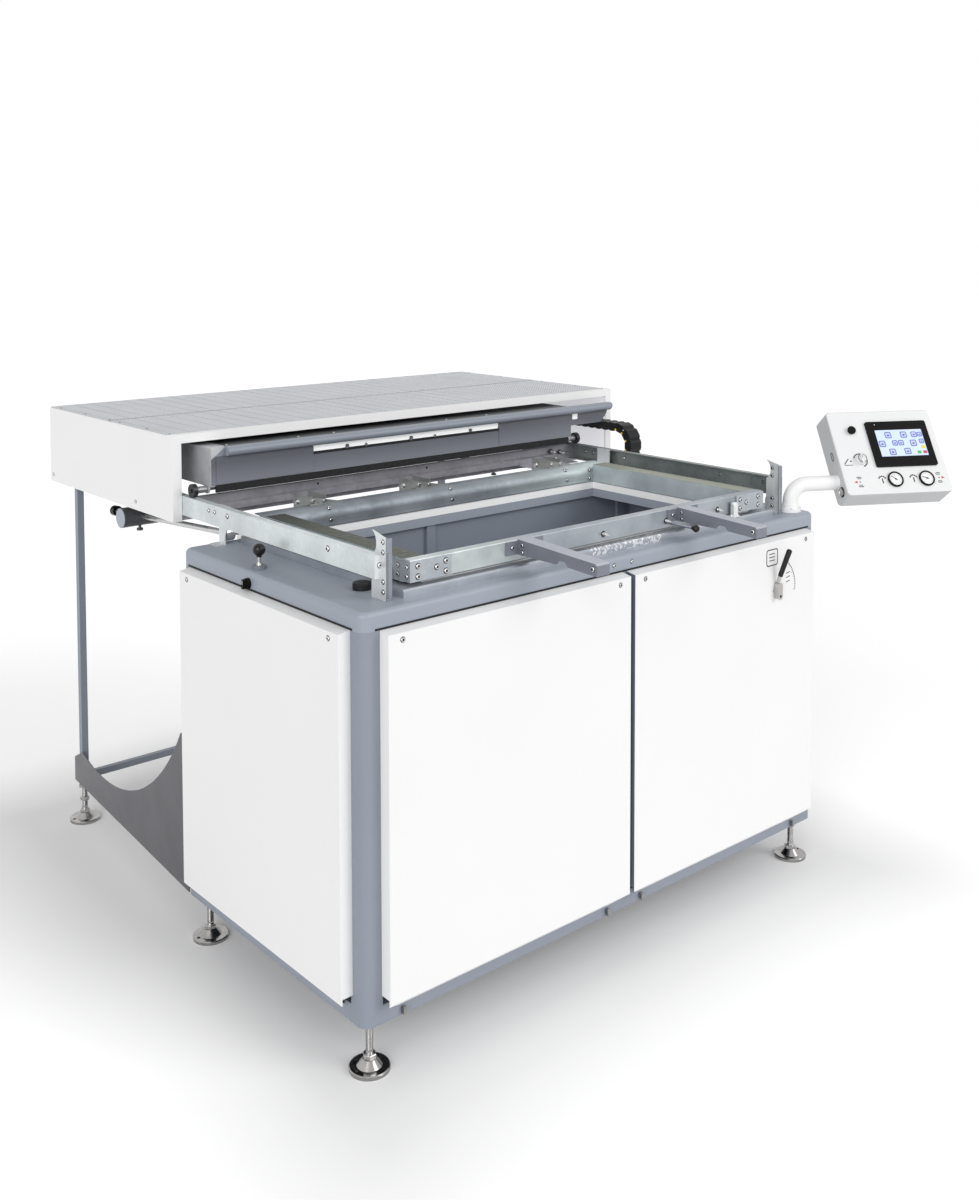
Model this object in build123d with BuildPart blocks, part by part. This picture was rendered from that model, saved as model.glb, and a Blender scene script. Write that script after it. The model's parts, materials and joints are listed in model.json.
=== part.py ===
from build123d import *
from math import atan2, cos, degrees, pi, radians, sin, tan
import os

os.makedirs("parts", exist_ok=True)

# Vacuum forming machine: a cabinet with a forming well, a hinged clamp frame over it, and a heater
# that rolls on two rails out of a rear hood. Millimetres, +Z up, +X to the operator's right, +Y to the rear.
# The origin is on the floor, in the middle of the four bolt holes of the cabinet's feet.

# Cabinet
cab_w = 1560
cab_d = 780
cab_bottom = 116
deck_z = 1000
apron_h = 41
sheet = 3
fold_r = 12
post_w = 48
post_r = 25
rail_h = 40
panel_proud = 30
panel_gap = 14
panel_sheet = 3
panel_return = 25
panel_bottom = 140
panel_margin = 46
side_margin = 42
notch = 38

# Feet
foot_d = 90
foot_rim = 9
foot_cone_h = 24
foot_collar_d = 30
stem_d = 16
foot_inset = 42
nut_af = 30
nut_h = 10
floor_hole_d = 9
floor_hole_at = 34

# Window, well and table
win_w = 1112
win_d = 577
win_y = -17.5
win_flange = 25
well_set = 15
well_half = 735
well_floor_z = 560
table_gap = 6
table_t = 20
table_rest_z = 660
table_travel = 330
guide_x = 330
guide_y = 150
guide_d = 25
guide_beam_z = 500
pump_beam_y = 90
bush_d = 34
run_fit = 0.05

# Sheet clamping
seat_h = 18
gasket_w = 14
seat_side = 85
seat_front = 43
seat_rear = 71
seat_chamfer = 4
clamp_z0 = 1022
clamp_z1 = 1074
clamp_side_w = 54
clamp_front_w = 26
clamp_rear_w = 54
clamp_sheet = 2.5
corner_plate_l = 112
corner_plate_t = 4
corner_side_l = 56
handle_x = 278
handle_w = 40
handle_h = 28
handle_l = 258
handle_drop = 2.5
handle_base_w = 116
latch_x = 230
latch_z = 1036
latch_l = 89
latch_ball_d = 18

# Hinge and counterbalance
hinge_back = 40
hinge_z = 1024
hinge_d = 16
hinge_half = 680
bearing_x = 612
bearing_w = 30
arm_xs = (-430, -80, 430)
arm_w = 50
arm_top_z = 1097
arm_low_z = 1048
arm_reach = 18
arm_tail = 23
arm_brace = 55
hub_x = 665
hub_w = 24
hub_r = 19
rod_d = 16
rod_l = 672
rod_drop = 4.0
weight_at = 506
weight_d = 56
weight_l = 118
cap_d = 30
cap_l = 22

# Rails
rail_x = 704
rail_w = 20
rail_z0 = 1049
rail_z1 = 1100
rail_y0 = -330
rail_y1 = 1310
rail_t = 3
post_top_z = 1147
post_y0 = -347
post_depth = 56
post_face = 14
post_neck = 4

# Hood
hood_x0 = -731
hood_x1 = 905
hood_y0 = 534
hood_y1 = 1342
hood_z0 = 1032
hood_z1 = 1261
hood_t = 3
hood_post = 26
hood_strip = 23
bearer_h = 15
bearer_w = 25

# Heater carriage
heat_x = 652
heat_y0 = 472
heat_y1 = 1150
heat_z0 = 1124
heat_z1 = 1226
heat_t = 2.5
heat_travel = 770
ear_t = 4
wheel_d = 36
wheel_w = 12
axle_d = 10
axle_in = 20
fascia_t = 4
nose_out = 20
nose_h = 24
nose_x0 = -612
nose_x1 = 828
slot_x = 340
slot_z0 = 1178
element_cols = 6
element_rows = 4

# Cable chain
chain_x = 829
chain_w = 50
chain_h = 28
chain_r = 56
chain_z = 1039
chain_front = 358
chain_pitch = 32
chain_back = 1240

# Rear stand
leg_w = 20
leg_x = 689
leg_y = 1198
gusset_t = 3
gusset_x0 = 769
gusset_y0 = 430
gusset_y1 = 1254
gusset_bottom = 112
gusset_rear_h = 72
gusset_knee = 68
gusset_top = 512
arc_y = 1020
arc_z = 908
arc_r = 710

# Control arm and box
arm_x = 734
arm_y = -338
arm_turn = -29
arm_d = 42
arm_flange_d = 62
arm_flange_t = 10
arm_z = 1075
elbow_r = 50
box_w = 326
box_h = 263
box_t = 78
box_tilt = 35
box_side = 143
box_axis_n = -45
box_axis_v = -71
box_r = 12
socket_l = 45

# Controls
lever_x = 563
lever_z = 819
lever_h = 123
ball_x = -742
ball_y = 80
ball_z = 1045
ball_d = 30
dial_knob_y = 64
dial_knob_z = 975
knob_d = 25
spindle_d = 18

front = -cab_d / 2
back = cab_d / 2
side = cab_w / 2
apron_z = deck_z - apron_h
win_y0 = win_y - win_d / 2
win_y1 = win_y + win_d / 2
hinge_y = win_y1 + clamp_rear_w + hinge_back
foot_x = side - foot_inset
foot_y = back - foot_inset
rear_foot_x = leg_x + leg_w / 2
rear_foot_y = leg_y + leg_w / 2
stations = [(sx * foot_x, sy * foot_y) for sx in (-1, 1) for sy in (-1, 1)]
stations += [(sx * rear_foot_x, rear_foot_y) for sx in (-1, 1)]


def block(x0, x1, y0, y1, z0, z1, mode=Mode.ADD):
    """A straight-sided length of bar or plate between its corner planes."""
    with Locations(((x0 + x1) / 2, (y0 + y1) / 2, (z0 + z1) / 2)):
        Box(x1 - x0, y1 - y0, z1 - z0, mode=mode)


def save(piece, name):
    piece.part.label = name
    export_step(piece.part, f"parts/{name}.step")


knob_pin_d = 6
valve_y = (front + win_y0 - well_set - sheet) / 2

# Welded cabinet frame: four corner posts, rails round the top and bottom, a middle post behind the gap
# between the front panels, and the beams that carry the lift and the pump.
lift_beam_y = (-guide_y - rail_h / 2, guide_y - rail_h / 2)
with BuildPart() as cabinet_frame:
    with BuildSketch(Plane.XY.offset(cab_bottom)):
        with GridLocations(cab_w - post_w, cab_d - post_w, 2, 2):
            Rectangle(post_w, post_w)
    extrude(amount=apron_z - cab_bottom)
    corner = cabinet_frame.edges().filter_by(Axis.Z).group_by(
        lambda e: round(abs(e.center().X) + abs(e.center().Y), 2))[-1]
    fillet(corner, post_r)
    for z in (cab_bottom, apron_z - rail_h):
        for sx in (-1, 1):
            block(*sorted((sx * side, sx * (side - rail_h))), front + post_w, back - post_w, z, z + rail_h)
        for sy in (-1, 1):
            block(-side + post_w, side - post_w, *sorted((sy * back, sy * (back - rail_h))), z, z + rail_h)
    block(-post_w / 2, post_w / 2, front, front + rail_h, cab_bottom + rail_h, apron_z - rail_h)
    for sx in (-1, 1):
        block(*sorted((sx * side, sx * (side - rail_h))), front + post_w, back - post_w,
              guide_beam_z, guide_beam_z + rail_h)
    for y in lift_beam_y:
        block(-side + rail_h, side - rail_h, y, y + rail_h, guide_beam_z, guide_beam_z + rail_h)
    for y in (-pump_beam_y, pump_beam_y):
        block(-side + rail_h, side - rail_h, y - rail_h / 2, y + rail_h / 2, cab_bottom, cab_bottom + rail_h)
    with Locations((0, 0, guide_beam_z)):
        with GridLocations(2 * guide_x, 2 * guide_y, 2, 2):
            Cylinder(bush_d / 2, 3 * rail_h, mode=Mode.SUBTRACT)
    with Locations((0, 0, cab_bottom)):
        with GridLocations(2 * foot_x, 2 * foot_y, 2, 2):
            Cylinder(stem_d / 2, 2 * rail_h, mode=Mode.SUBTRACT)
save(cabinet_frame, "cabinet_frame")

# Folded deck: a shallow tray turned upside down, with the forming window flanged downwards.
with BuildPart() as top_shell:
    with BuildSketch(Plane.XY.offset(apron_z)):
        RectangleRounded(cab_w, cab_d, post_r)
    extrude(amount=apron_h)
    fillet(top_shell.edges().group_by(Axis.Z)[-1], fold_r)
    offset(amount=-sheet, openings=top_shell.faces().sort_by(Axis.Z)[0])
    with BuildSketch(Plane.XY.offset(deck_z - win_flange)):
        with Locations((0, win_y)):
            Rectangle(win_w + 2 * sheet, win_d + 2 * sheet)
    extrude(amount=win_flange - sheet)
    with BuildSketch(Plane.XY.offset(deck_z - win_flange)):
        with Locations((0, win_y)):
            Rectangle(win_w, win_d)
    extrude(amount=2 * win_flange, mode=Mode.SUBTRACT)
    with Locations(Plane((-side, dial_knob_y, dial_knob_z), z_dir=(-1, 0, 0))):
        Cylinder(knob_pin_d / 2 + run_fit, 4 * sheet, mode=Mode.SUBTRACT)
save(top_shell, "top_shell")

# Well under the deck: a welded sheet box, wider than the window, with upright stiffeners on its rear wall.
well_w = 2 * well_half
well_d = win_d + 2 * well_set
well_top = deck_z - sheet
rib_w = 30
rib_xs = (-687, -77, 687)
rib_d = 10
pipe_d = 34
port_z = 900
with BuildPart() as well_liner:
    with BuildSketch(Plane.XY.offset(well_floor_z)):
        with Locations((0, win_y)):
            Rectangle(well_w + 2 * sheet, well_d + 2 * sheet)
            Rectangle(well_w, well_d, mode=Mode.SUBTRACT)
    extrude(amount=well_top - well_floor_z)
    with BuildSketch(Plane.XY.offset(well_floor_z)):
        with Locations((0, win_y)):
            Rectangle(well_w, well_d)
    extrude(amount=sheet)
    for x in rib_xs:
        block(x - rib_w / 2, x + rib_w / 2, win_y1 + well_set - rib_d, win_y1 + well_set,
              well_floor_z, well_top)
    with Locations((0, 0, well_floor_z)):
        with GridLocations(2 * guide_x, 2 * guide_y, 2, 2):
            Cylinder(guide_d / 2 + 1, 4 * sheet, mode=Mode.SUBTRACT)
        Cylinder(21, 4 * sheet, mode=Mode.SUBTRACT)
    with BuildSketch(Plane((lever_x, win_y0 - well_set, port_z), x_dir=(1, 0, 0), z_dir=(0, -1, 0))):
        Circle(pipe_d / 2 + 0.3)
    extrude(amount=2 * sheet, both=True, mode=Mode.SUBTRACT)
save(well_liner, "well_liner")


def wall_panel(plane, width, height):
    """A tray-shaped cover seen square on: sloping top and bottom returns, cut back at the lower corners."""
    with BuildPart() as cover:
        with BuildSketch(plane):
            with Locations((0, height / 2)):
                Rectangle(width, height)
        with BuildSketch(plane.offset(panel_proud)):
            with Locations((0, height / 2 + (panel_return - 5) / 2)):
                Rectangle(width, height - panel_return - 5)
        loft()
        offset(amount=-panel_sheet, openings=cover.faces().sort_by(SortBy.AREA)[-1])
        with BuildSketch(plane.offset(-1)):
            for sx in (-1, 1):
                with BuildLine():
                    Polyline((sx * (width / 2 + 1), -1), (sx * (width / 2 - notch), -1),
                             (sx * (width / 2 + 1), notch), close=True)
                make_face()
        extrude(amount=panel_proud - panel_sheet, mode=Mode.SUBTRACT)
    return cover


panel_h = apron_z - panel_bottom
front_panel_w = side - panel_margin - panel_gap / 2
front_panel_x = (side - panel_margin + panel_gap / 2) / 2
side_panel_w = cab_d - 2 * side_margin
rear_panel_w = cab_w - 2 * 80
front_planes = {sx: Plane((sx * front_panel_x, front, panel_bottom), x_dir=(1, 0, 0), z_dir=(0, -1, 0))
                for sx in (-1, 1)}
side_planes = {sx: Plane((sx * side, 0, panel_bottom), x_dir=(0, sx, 0), z_dir=(sx, 0, 0)) for sx in (-1, 1)}
rear_plane = Plane((0, back, panel_bottom), x_dir=(-1, 0, 0), z_dir=(0, 1, 0))

left_front_panel = wall_panel(front_planes[-1], front_panel_w, panel_h)
save(left_front_panel, "left_front_panel")

# The right front panel has the hole that the vacuum lever's spindle comes through.
with BuildPart() as right_front_panel:
    add(wall_panel(front_planes[1], front_panel_w, panel_h).part)
    with Locations(Plane((lever_x, front, lever_z), z_dir=(0, -1, 0))):
        Cylinder(spindle_d / 2 + 1, 3 * panel_proud, mode=Mode.SUBTRACT)
save(right_front_panel, "right_front_panel")

left_side_panel = wall_panel(side_planes[-1], side_panel_w, panel_h)
save(left_side_panel, "left_side_panel")
right_side_panel = wall_panel(side_planes[1], side_panel_w, panel_h)
save(right_side_panel, "right_side_panel")
rear_panel = wall_panel(rear_plane, rear_panel_w, panel_h)
save(rear_panel, "rear_panel")

# Panel screws near the top corners, and the hooks that the front panels' lower edges hang on.
screw_in = 37
screw_down = 20
screw_d = 10
hook_w = 10
with BuildPart() as panel_fixings:
    for plane, width in [(front_planes[-1], front_panel_w), (front_planes[1], front_panel_w),
                         (side_planes[-1], side_panel_w), (side_planes[1], side_panel_w),
                         (rear_plane, rear_panel_w)]:
        with BuildSketch(plane.offset(panel_proud)):
            with Locations((-width / 2 + screw_in, panel_h - screw_down),
                           (width / 2 - screw_in, panel_h - screw_down)):
                Circle(screw_d / 2)
        extrude(amount=2)
    for sx in (-1, 1):
        for x in (notch + 15, front_panel_w - notch - 15):
            centre = sx * (front_panel_x - front_panel_w / 2 + x)
            block(centre - hook_w / 2, centre + hook_w / 2, front - 12, front, panel_bottom - 20, panel_bottom - 4)
save(panel_fixings, "panel_fixings")

# Levelling feet: a disc with a bolt-down hole on its outer side, and a threaded stem with its lock nut.
def foot_disc(sx):
    with BuildPart() as disc:
        with BuildSketch(Plane.XZ):
            with BuildLine():
                Polyline((0, 0), (foot_d / 2, 0), (foot_d / 2, foot_rim - 2), (foot_d / 2 - 2, foot_rim),
                         (foot_d / 2 - 17, foot_rim), (foot_collar_d / 2, foot_cone_h), (0, foot_cone_h), close=True)
            make_face()
        revolve(axis=Axis.Z)
        with Locations((sx * floor_hole_at, 0, 0)):
            Cylinder(floor_hole_d / 2, 4 * foot_rim, mode=Mode.SUBTRACT)
    return disc.part


with BuildPart() as foot_discs:
    for x, y in stations:
        with Locations((x, y, 0)):
            add(foot_disc(1 if x > 0 else -1))
save(foot_discs, "foot_discs")

stem_top = cab_bottom + 30
with BuildPart() as foot_stems:
    for x, y in stations:
        base = cab_bottom if abs(y) < back else gusset_bottom
        with BuildSketch(Plane.XY.offset(foot_cone_h)):
            with Locations((x, y)):
                Circle(stem_d / 2)
        extrude(amount=stem_top - foot_cone_h if abs(y) < back else base - foot_cone_h)
        with BuildSketch(Plane.XY.offset(base - nut_h)):
            with Locations((x, y)):
                RegularPolygon(nut_af / 2, 6, major_radius=False)
        extrude(amount=nut_h)
save(foot_stems, "foot_stems")

# Rear stand: gusset plates with a large concave edge and a flange on the cabinet's corner post,
# two square legs up to the hood, and a cross tube between the legs.
gusset_turn = atan2(gusset_x0 - leg_x - leg_w, leg_y + leg_w - gusset_y0)
flange_w = 25
arc_low = gusset_bottom + gusset_rear_h
top_y = arc_y - (arc_r ** 2 - (arc_z - gusset_top) ** 2) ** 0.5
knee_y = gusset_y1 - gusset_knee
knee_z = arc_z - (arc_r ** 2 - (knee_y - arc_y) ** 2) ** 0.5
with BuildPart() as gusset_plates:
    for sx in (-1, 1):
        along = (-sx * sin(gusset_turn), cos(gusset_turn), 0)
        plate_x0 = gusset_x0 + (gusset_y0 - back) * tan(gusset_turn)
        run = 1 / cos(gusset_turn)
        with BuildSketch(Plane((sx * plate_x0, back, 0), x_dir=along,
                               z_dir=(cos(gusset_turn), sx * sin(gusset_turn), 0))):
            with BuildLine():
                knee = ((knee_y - back) * run, knee_z)
                hip = ((top_y - back) * run, gusset_top)
                Polyline(hip, (flange_w, gusset_top), (0, gusset_top - flange_w), (0, gusset_bottom),
                         ((gusset_y1 - back) * run, gusset_bottom), ((gusset_y1 - back) * run, arc_low), knee)
                ThreePointArc(knee, ((arc_y - back) * run, arc_z - arc_r), hip)
            make_face()
        extrude(amount=sx * gusset_t)
        block(*sorted((sx * (plate_x0 + 0.2), sx * (plate_x0 - flange_w))), back, back + gusset_t,
              gusset_bottom + 10, gusset_top - flange_w)
save(gusset_plates, "gusset_plates")

bearer_z0 = rail_z0 - bearer_h
with BuildPart() as rear_stand:
    with BuildSketch(Plane.XY.offset(gusset_bottom)):
        with Locations((-rear_foot_x, rear_foot_y), (rear_foot_x, rear_foot_y)):
            Rectangle(leg_w, leg_w)
    extrude(amount=bearer_z0 - gusset_bottom)
    with BuildSketch(Plane.YZ.offset(-leg_x)):
        with Locations((rear_foot_y, gusset_bottom + 24)):
            RectangleRounded(leg_w, leg_w, 3)
    extrude(amount=2 * leg_x)
save(rear_stand, "rear_stand")

# Rails: folded channels, open to the middle, with the heater's wheels on their upper flange.
def rail(sx):
    with BuildPart() as channel:
        with BuildSketch(Plane((0, rail_y0, 0), x_dir=(1, 0, 0), z_dir=(0, 1, 0))):
            with BuildLine():
                Polyline((sx * (rail_x - rail_w), -rail_z1), (sx * rail_x, -rail_z1), (sx * rail_x, -rail_z0),
                         (sx * (rail_x - rail_w), -rail_z0), (sx * (rail_x - rail_w), -rail_z0 - rail_t),
                         (sx * (rail_x - rail_t), -rail_z0 - rail_t), (sx * (rail_x - rail_t), -rail_z1 + rail_t),
                         (sx * (rail_x - rail_w), -rail_z1 + rail_t), close=True)
            make_face()
        extrude(amount=rail_y1 - rail_y0)
    return channel


left_rail = rail(-1)
save(left_rail, "left_rail")
right_rail = rail(1)
save(right_rail, "right_rail")

# Posts of the rails, on the deck: at the front, folded plates with an ear-shaped side flange that grips
# the rail's end; at the rear, bent plates inside the channel, bolted to its lips and to the deck.
post_x = rail_x - rail_w
rail_foot_y = hinge_y + 1
rail_foot_l = 44
ear_dip = 14
ear_fall = 12
with BuildPart() as rail_posts:
    for sx in (-1, 1):
        with BuildSketch(Plane((sx * post_x, 0, 0), x_dir=(0, 1, 0), z_dir=(1, 0, 0))):
            with BuildLine():
                neck_y = post_y0 + post_depth - post_neck
                Polyline((post_y0, deck_z), (post_y0 + post_depth, deck_z), (post_y0 + post_depth, rail_z0 - 15),
                         (neck_y, rail_z0 - 5), (neck_y, rail_z1 - 6))
                ThreePointArc((neck_y, rail_z1 - 6), (neck_y - ear_dip, rail_z1 + 14), (neck_y, post_top_z))
                Polyline((neck_y, post_top_z), (post_y0, post_top_z - ear_fall), (post_y0, deck_z))
            make_face()
        extrude(amount=-sx * rail_t)
        block(*sorted((sx * post_x, sx * (post_x - post_face))), post_y0, post_y0 + rail_t,
              deck_z, post_top_z - ear_fall)
        block(*sorted((sx * (post_x - rail_t), sx * (post_x - post_face))), post_y0 + rail_t,
              post_y0 + post_depth, deck_z, deck_z + rail_t)
        inner = rail_x - rail_w - rail_t
        with BuildSketch(Plane((sx * inner, 0, 0), x_dir=(0, 1, 0), z_dir=(1, 0, 0))):
            with BuildLine():
                Polyline((rail_foot_y - rail_foot_l, rail_z1), (rail_foot_y - rail_foot_l, rail_z0))
                ThreePointArc((rail_foot_y - rail_foot_l, rail_z0), (rail_foot_y - 24, rail_z0 - 18),
                              (rail_foot_y - 20, deck_z))
                Polyline((rail_foot_y - 20, deck_z), (rail_foot_y + 10, deck_z), (rail_foot_y + 10, rail_z1),
                         (rail_foot_y - rail_foot_l, rail_z1))
            make_face()
        extrude(amount=sx * rail_t)
        block(*sorted((sx * (inner + rail_t), sx * (inner + 30))), rail_foot_y - 20, rail_foot_y + 10,
              deck_z, deck_z + rail_t)
save(rail_posts, "rail_posts")

# Cross members: the channel between the rails in front of the heater, the two bearers that the rails
# and the hood stand on, and the cable chain's tray, which is let into the bearers.
cross_y = 504
cross_w = 22
cross_in = rail_x - rail_t
chain_floor = chain_z - chain_h / 2 - 0.3
tray_half = chain_w / 2 + 6
tray_y0 = hood_y0 + 2
with BuildPart() as rail_cross_members:
    with BuildSketch(Plane.YZ.offset(-cross_in)):
        with BuildLine():
            Polyline((cross_y + cross_w, rail_z0 + rail_t), (cross_y, rail_z0 + rail_t),
                     (cross_y, rail_z0 + 20), (cross_y + 5, rail_z0 + 25), (cross_y + 5, rail_z1 - rail_t - 1),
                     (cross_y + cross_w, rail_z1 - rail_t - 1), (cross_y + cross_w, rail_z1 - 2 * rail_t - 1),
                     (cross_y + 5 + rail_t, rail_z1 - 2 * rail_t - 1), (cross_y + 5 + rail_t, rail_z0 + 24),
                     (cross_y + rail_t, rail_z0 + 19), (cross_y + rail_t, rail_z0 + 2 * rail_t),
                     (cross_y + cross_w, rail_z0 + 2 * rail_t), close=True)
        make_face()
    extrude(amount=2 * cross_in)
    for y in (hood_y0 + hood_t, leg_y):
        block(hood_x0 + hood_t, hood_x1 - hood_t, y, y + bearer_w, bearer_z0, rail_z0)
    block(chain_x - tray_half, chain_x + tray_half, tray_y0, chain_back, chain_floor - rail_t, rail_z0)
    block(chain_x - tray_half + rail_t, chain_x + tray_half - rail_t, tray_y0, chain_back, chain_floor, rail_z0,
          mode=Mode.SUBTRACT)
save(rail_cross_members, "rail_cross_members")

# Sheet seat round the window: a flat galvanised frame with a soft strip along its inner edge.
seat_out_y0 = win_y0 - seat_front
seat_out_y1 = win_y1 + seat_rear
seat_w = win_w + 2 * seat_side
seat_d = seat_out_y1 - seat_out_y0
seat_y = (seat_out_y0 + seat_out_y1) / 2
with BuildPart() as seat_frame:
    with BuildSketch(Plane.XY.offset(deck_z)):
        with Locations((0, seat_y)):
            Rectangle(seat_w, seat_d)
        with Locations((0, win_y)):
            Rectangle(win_w + 2 * gasket_w, win_d + 2 * gasket_w, mode=Mode.SUBTRACT)
    extrude(amount=seat_h)
    long_edges = seat_frame.edges().group_by(Axis.Z)[-1].filter_by(Axis.X).sort_by(Axis.Y)
    chamfer([long_edges[0], long_edges[-1]], seat_chamfer)
save(seat_frame, "seat_frame")

with BuildPart() as seat_gasket:
    with BuildSketch(Plane.XY.offset(deck_z)):
        with Locations((0, win_y)):
            Rectangle(win_w + 2 * gasket_w, win_d + 2 * gasket_w)
            Rectangle(win_w, win_d, mode=Mode.SUBTRACT)
    extrude(amount=seat_h + 2)
save(seat_gasket, "seat_gasket")

# Clamp frame: folded bars on four sides. The front bar is a closed cap, the side bars are channels
# open to the outside, and the rear bar is rolled round towards the window.
clamp_out = win_w / 2 + clamp_side_w
clamp_y0 = win_y0 - clamp_front_w
clamp_y1 = win_y1 + clamp_rear_w
front_z0 = clamp_z0 + 4
with BuildPart() as clamp_front_bar:
    with BuildSketch(Plane.YZ.offset(-clamp_out)):
        with BuildLine():
            Polyline((clamp_y0, front_z0), (clamp_y0, clamp_z1), (win_y0, clamp_z1), (win_y0, front_z0),
                     (win_y0 - clamp_sheet, front_z0), (win_y0 - clamp_sheet, clamp_z1 - clamp_sheet),
                     (clamp_y0 + clamp_sheet, clamp_z1 - clamp_sheet), (clamp_y0 + clamp_sheet, front_z0),
                     close=True)
        make_face()
    extrude(amount=2 * clamp_out)
    fillet(clamp_front_bar.edges().filter_by(Axis.X).group_by(Axis.Z)[-1], 3)
save(clamp_front_bar, "clamp_front_bar")

roll_r = 30
with BuildPart() as clamp_rear_bar:
    with BuildSketch(Plane.YZ.offset(-clamp_out)):
        with BuildLine():
            Polyline((win_y1 + 6 + roll_r, clamp_z1), (clamp_y1, clamp_z1), (clamp_y1, clamp_z1 - clamp_sheet),
                     (win_y1 + 6 + roll_r, clamp_z1 - clamp_sheet))
            ThreePointArc((win_y1 + 6 + roll_r, clamp_z1 - clamp_sheet),
                          (win_y1 + 6 + roll_r - (roll_r - clamp_sheet) * cos(pi / 4),
                           clamp_z1 - roll_r + (roll_r - clamp_sheet) * sin(pi / 4)),
                          (win_y1 + 6 + clamp_sheet, clamp_z1 - roll_r))
            Polyline((win_y1 + 6 + clamp_sheet, clamp_z1 - roll_r), (win_y1 + 6 + clamp_sheet, clamp_z0 + clamp_sheet),
                     (clamp_y1, clamp_z0 + clamp_sheet), (clamp_y1, clamp_z0), (win_y1, clamp_z0),
                     (win_y1, clamp_z0 + clamp_sheet), (win_y1 + 6, clamp_z0 + clamp_sheet),
                     (win_y1 + 6, clamp_z1 - roll_r))
            ThreePointArc((win_y1 + 6, clamp_z1 - roll_r),
                          (win_y1 + 6 + roll_r - roll_r * cos(pi / 4), clamp_z1 - roll_r + roll_r * sin(pi / 4)),
                          (win_y1 + 6 + roll_r, clamp_z1))
        make_face()
    extrude(amount=2 * clamp_out)
save(clamp_rear_bar, "clamp_rear_bar")

with BuildPart() as clamp_side_bars:
    for sx in (-1, 1):
        with BuildSketch(Plane((0, win_y0, 0), x_dir=(1, 0, 0), z_dir=(0, 1, 0))):
            with BuildLine():
                inner = sx * win_w / 2
                web = inner + sx * clamp_sheet
                Polyline((inner, -clamp_z1), (sx * clamp_out, -clamp_z1), (sx * clamp_out, -clamp_z1 + clamp_sheet),
                         (web, -clamp_z1 + clamp_sheet), (web, -clamp_z0 - clamp_sheet),
                         (sx * clamp_out, -clamp_z0 - clamp_sheet), (sx * clamp_out, -clamp_z0),
                         (inner, -clamp_z0), close=True)
            make_face()
        extrude(amount=win_d)
save(clamp_side_bars, "clamp_side_bars")

# Corner plates: angles round the front corners, which close the front bar's ends.
with BuildPart() as clamp_corner_plates:
    for sx in (-1, 1):
        block(*sorted((sx * (clamp_out + corner_plate_t), sx * (clamp_out - corner_plate_l))),
              clamp_y0 - corner_plate_t, clamp_y0, front_z0, clamp_z1 - 2)
        block(*sorted((sx * clamp_out, sx * (clamp_out + corner_plate_t))),
              clamp_y0 - corner_plate_t, clamp_y0 + corner_side_l, front_z0, clamp_z1 - 2)
save(clamp_corner_plates, "clamp_corner_plates")

# Lift handles: folded channels, open below, with a step on their underside, and a base plate on the bar.
# Beside the right handle stands the frame's ball-ended pull rod.
handle_y0 = clamp_y0 - handle_l
latch_d = 7
with BuildPart() as lift_handles:
    for sx in (-1, 1):
        with BuildSketch(Plane.YZ.offset(sx * handle_x - handle_w / 2)):
            with BuildLine():
                drop = handle_l * sin(radians(handle_drop))
                Polyline((clamp_y0, clamp_z1), (handle_y0 + 4, clamp_z1 - drop), (handle_y0, clamp_z1 - drop - 4),
                         (handle_y0, clamp_z1 - drop - handle_h), (handle_y0 + 90, clamp_z1 - drop - handle_h + 4),
                         (handle_y0 + 100, clamp_z1 - drop - handle_h + 14),
                         (handle_y0 + 118, clamp_z1 - drop - handle_h + 14),
                         (handle_y0 + 128, clamp_z1 - drop - handle_h + 4), (clamp_y0, clamp_z1 - handle_h - 8),
                         close=True)
            make_face()
        extrude(amount=handle_w)
        with BuildSketch(Plane.YZ.offset(sx * handle_x - handle_w / 2 + clamp_sheet)):
            with BuildLine():
                Polyline((clamp_y0 - clamp_sheet, clamp_z1 - clamp_sheet),
                         (handle_y0 + clamp_sheet, clamp_z1 - drop - clamp_sheet - 2),
                         (handle_y0 + clamp_sheet, clamp_z1 - 3 * handle_h), (clamp_y0 - clamp_sheet, clamp_z1 - 3 * handle_h),
                         close=True)
            make_face()
        extrude(amount=handle_w - 2 * clamp_sheet, mode=Mode.SUBTRACT)
        block(sx * handle_x - handle_base_w / 2, sx * handle_x + handle_base_w / 2, clamp_y0 - corner_plate_t, clamp_y0,
              clamp_z1 - handle_h - 6, clamp_z1 - 2)
    with BuildSketch(Plane((latch_x, clamp_y0, latch_z), x_dir=(1, 0, 0), z_dir=(0, -1, 0))):
        Circle(latch_d / 2)
    extrude(amount=latch_l)
    with Locations((latch_x, clamp_y0 - latch_l, latch_z)):
        Sphere(latch_ball_d / 2)
save(lift_handles, "lift_handles")

# Hinge of the clamp frame: a shaft in bearing blocks on the deck, and arms up to the rear bar.
hinge_axis = Plane((0, hinge_y, hinge_z), x_dir=(0, 1, 0), z_dir=(1, 0, 0))
with BuildPart() as hinge_shaft:
    with BuildSketch(hinge_axis):
        Circle(hinge_d / 2)
    extrude(amount=hinge_half, both=True)
save(hinge_shaft, "hinge_shaft")

bearing_l = 42
with BuildPart() as hinge_bearings:
    for sx in (-1, 1):
        with BuildSketch(hinge_axis.offset(sx * bearing_x - bearing_w / 2)):
            with BuildLine():
                r = bearing_l / 2
                Polyline((r, 0), (r, deck_z - hinge_z), (-r, deck_z - hinge_z), (-r, 0))
                ThreePointArc((-r, 0), (0, r), (r, 0))
            make_face()
            Circle(hinge_d / 2 + run_fit, mode=Mode.SUBTRACT)
        extrude(amount=bearing_w)
save(hinge_bearings, "hinge_bearings")

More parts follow.
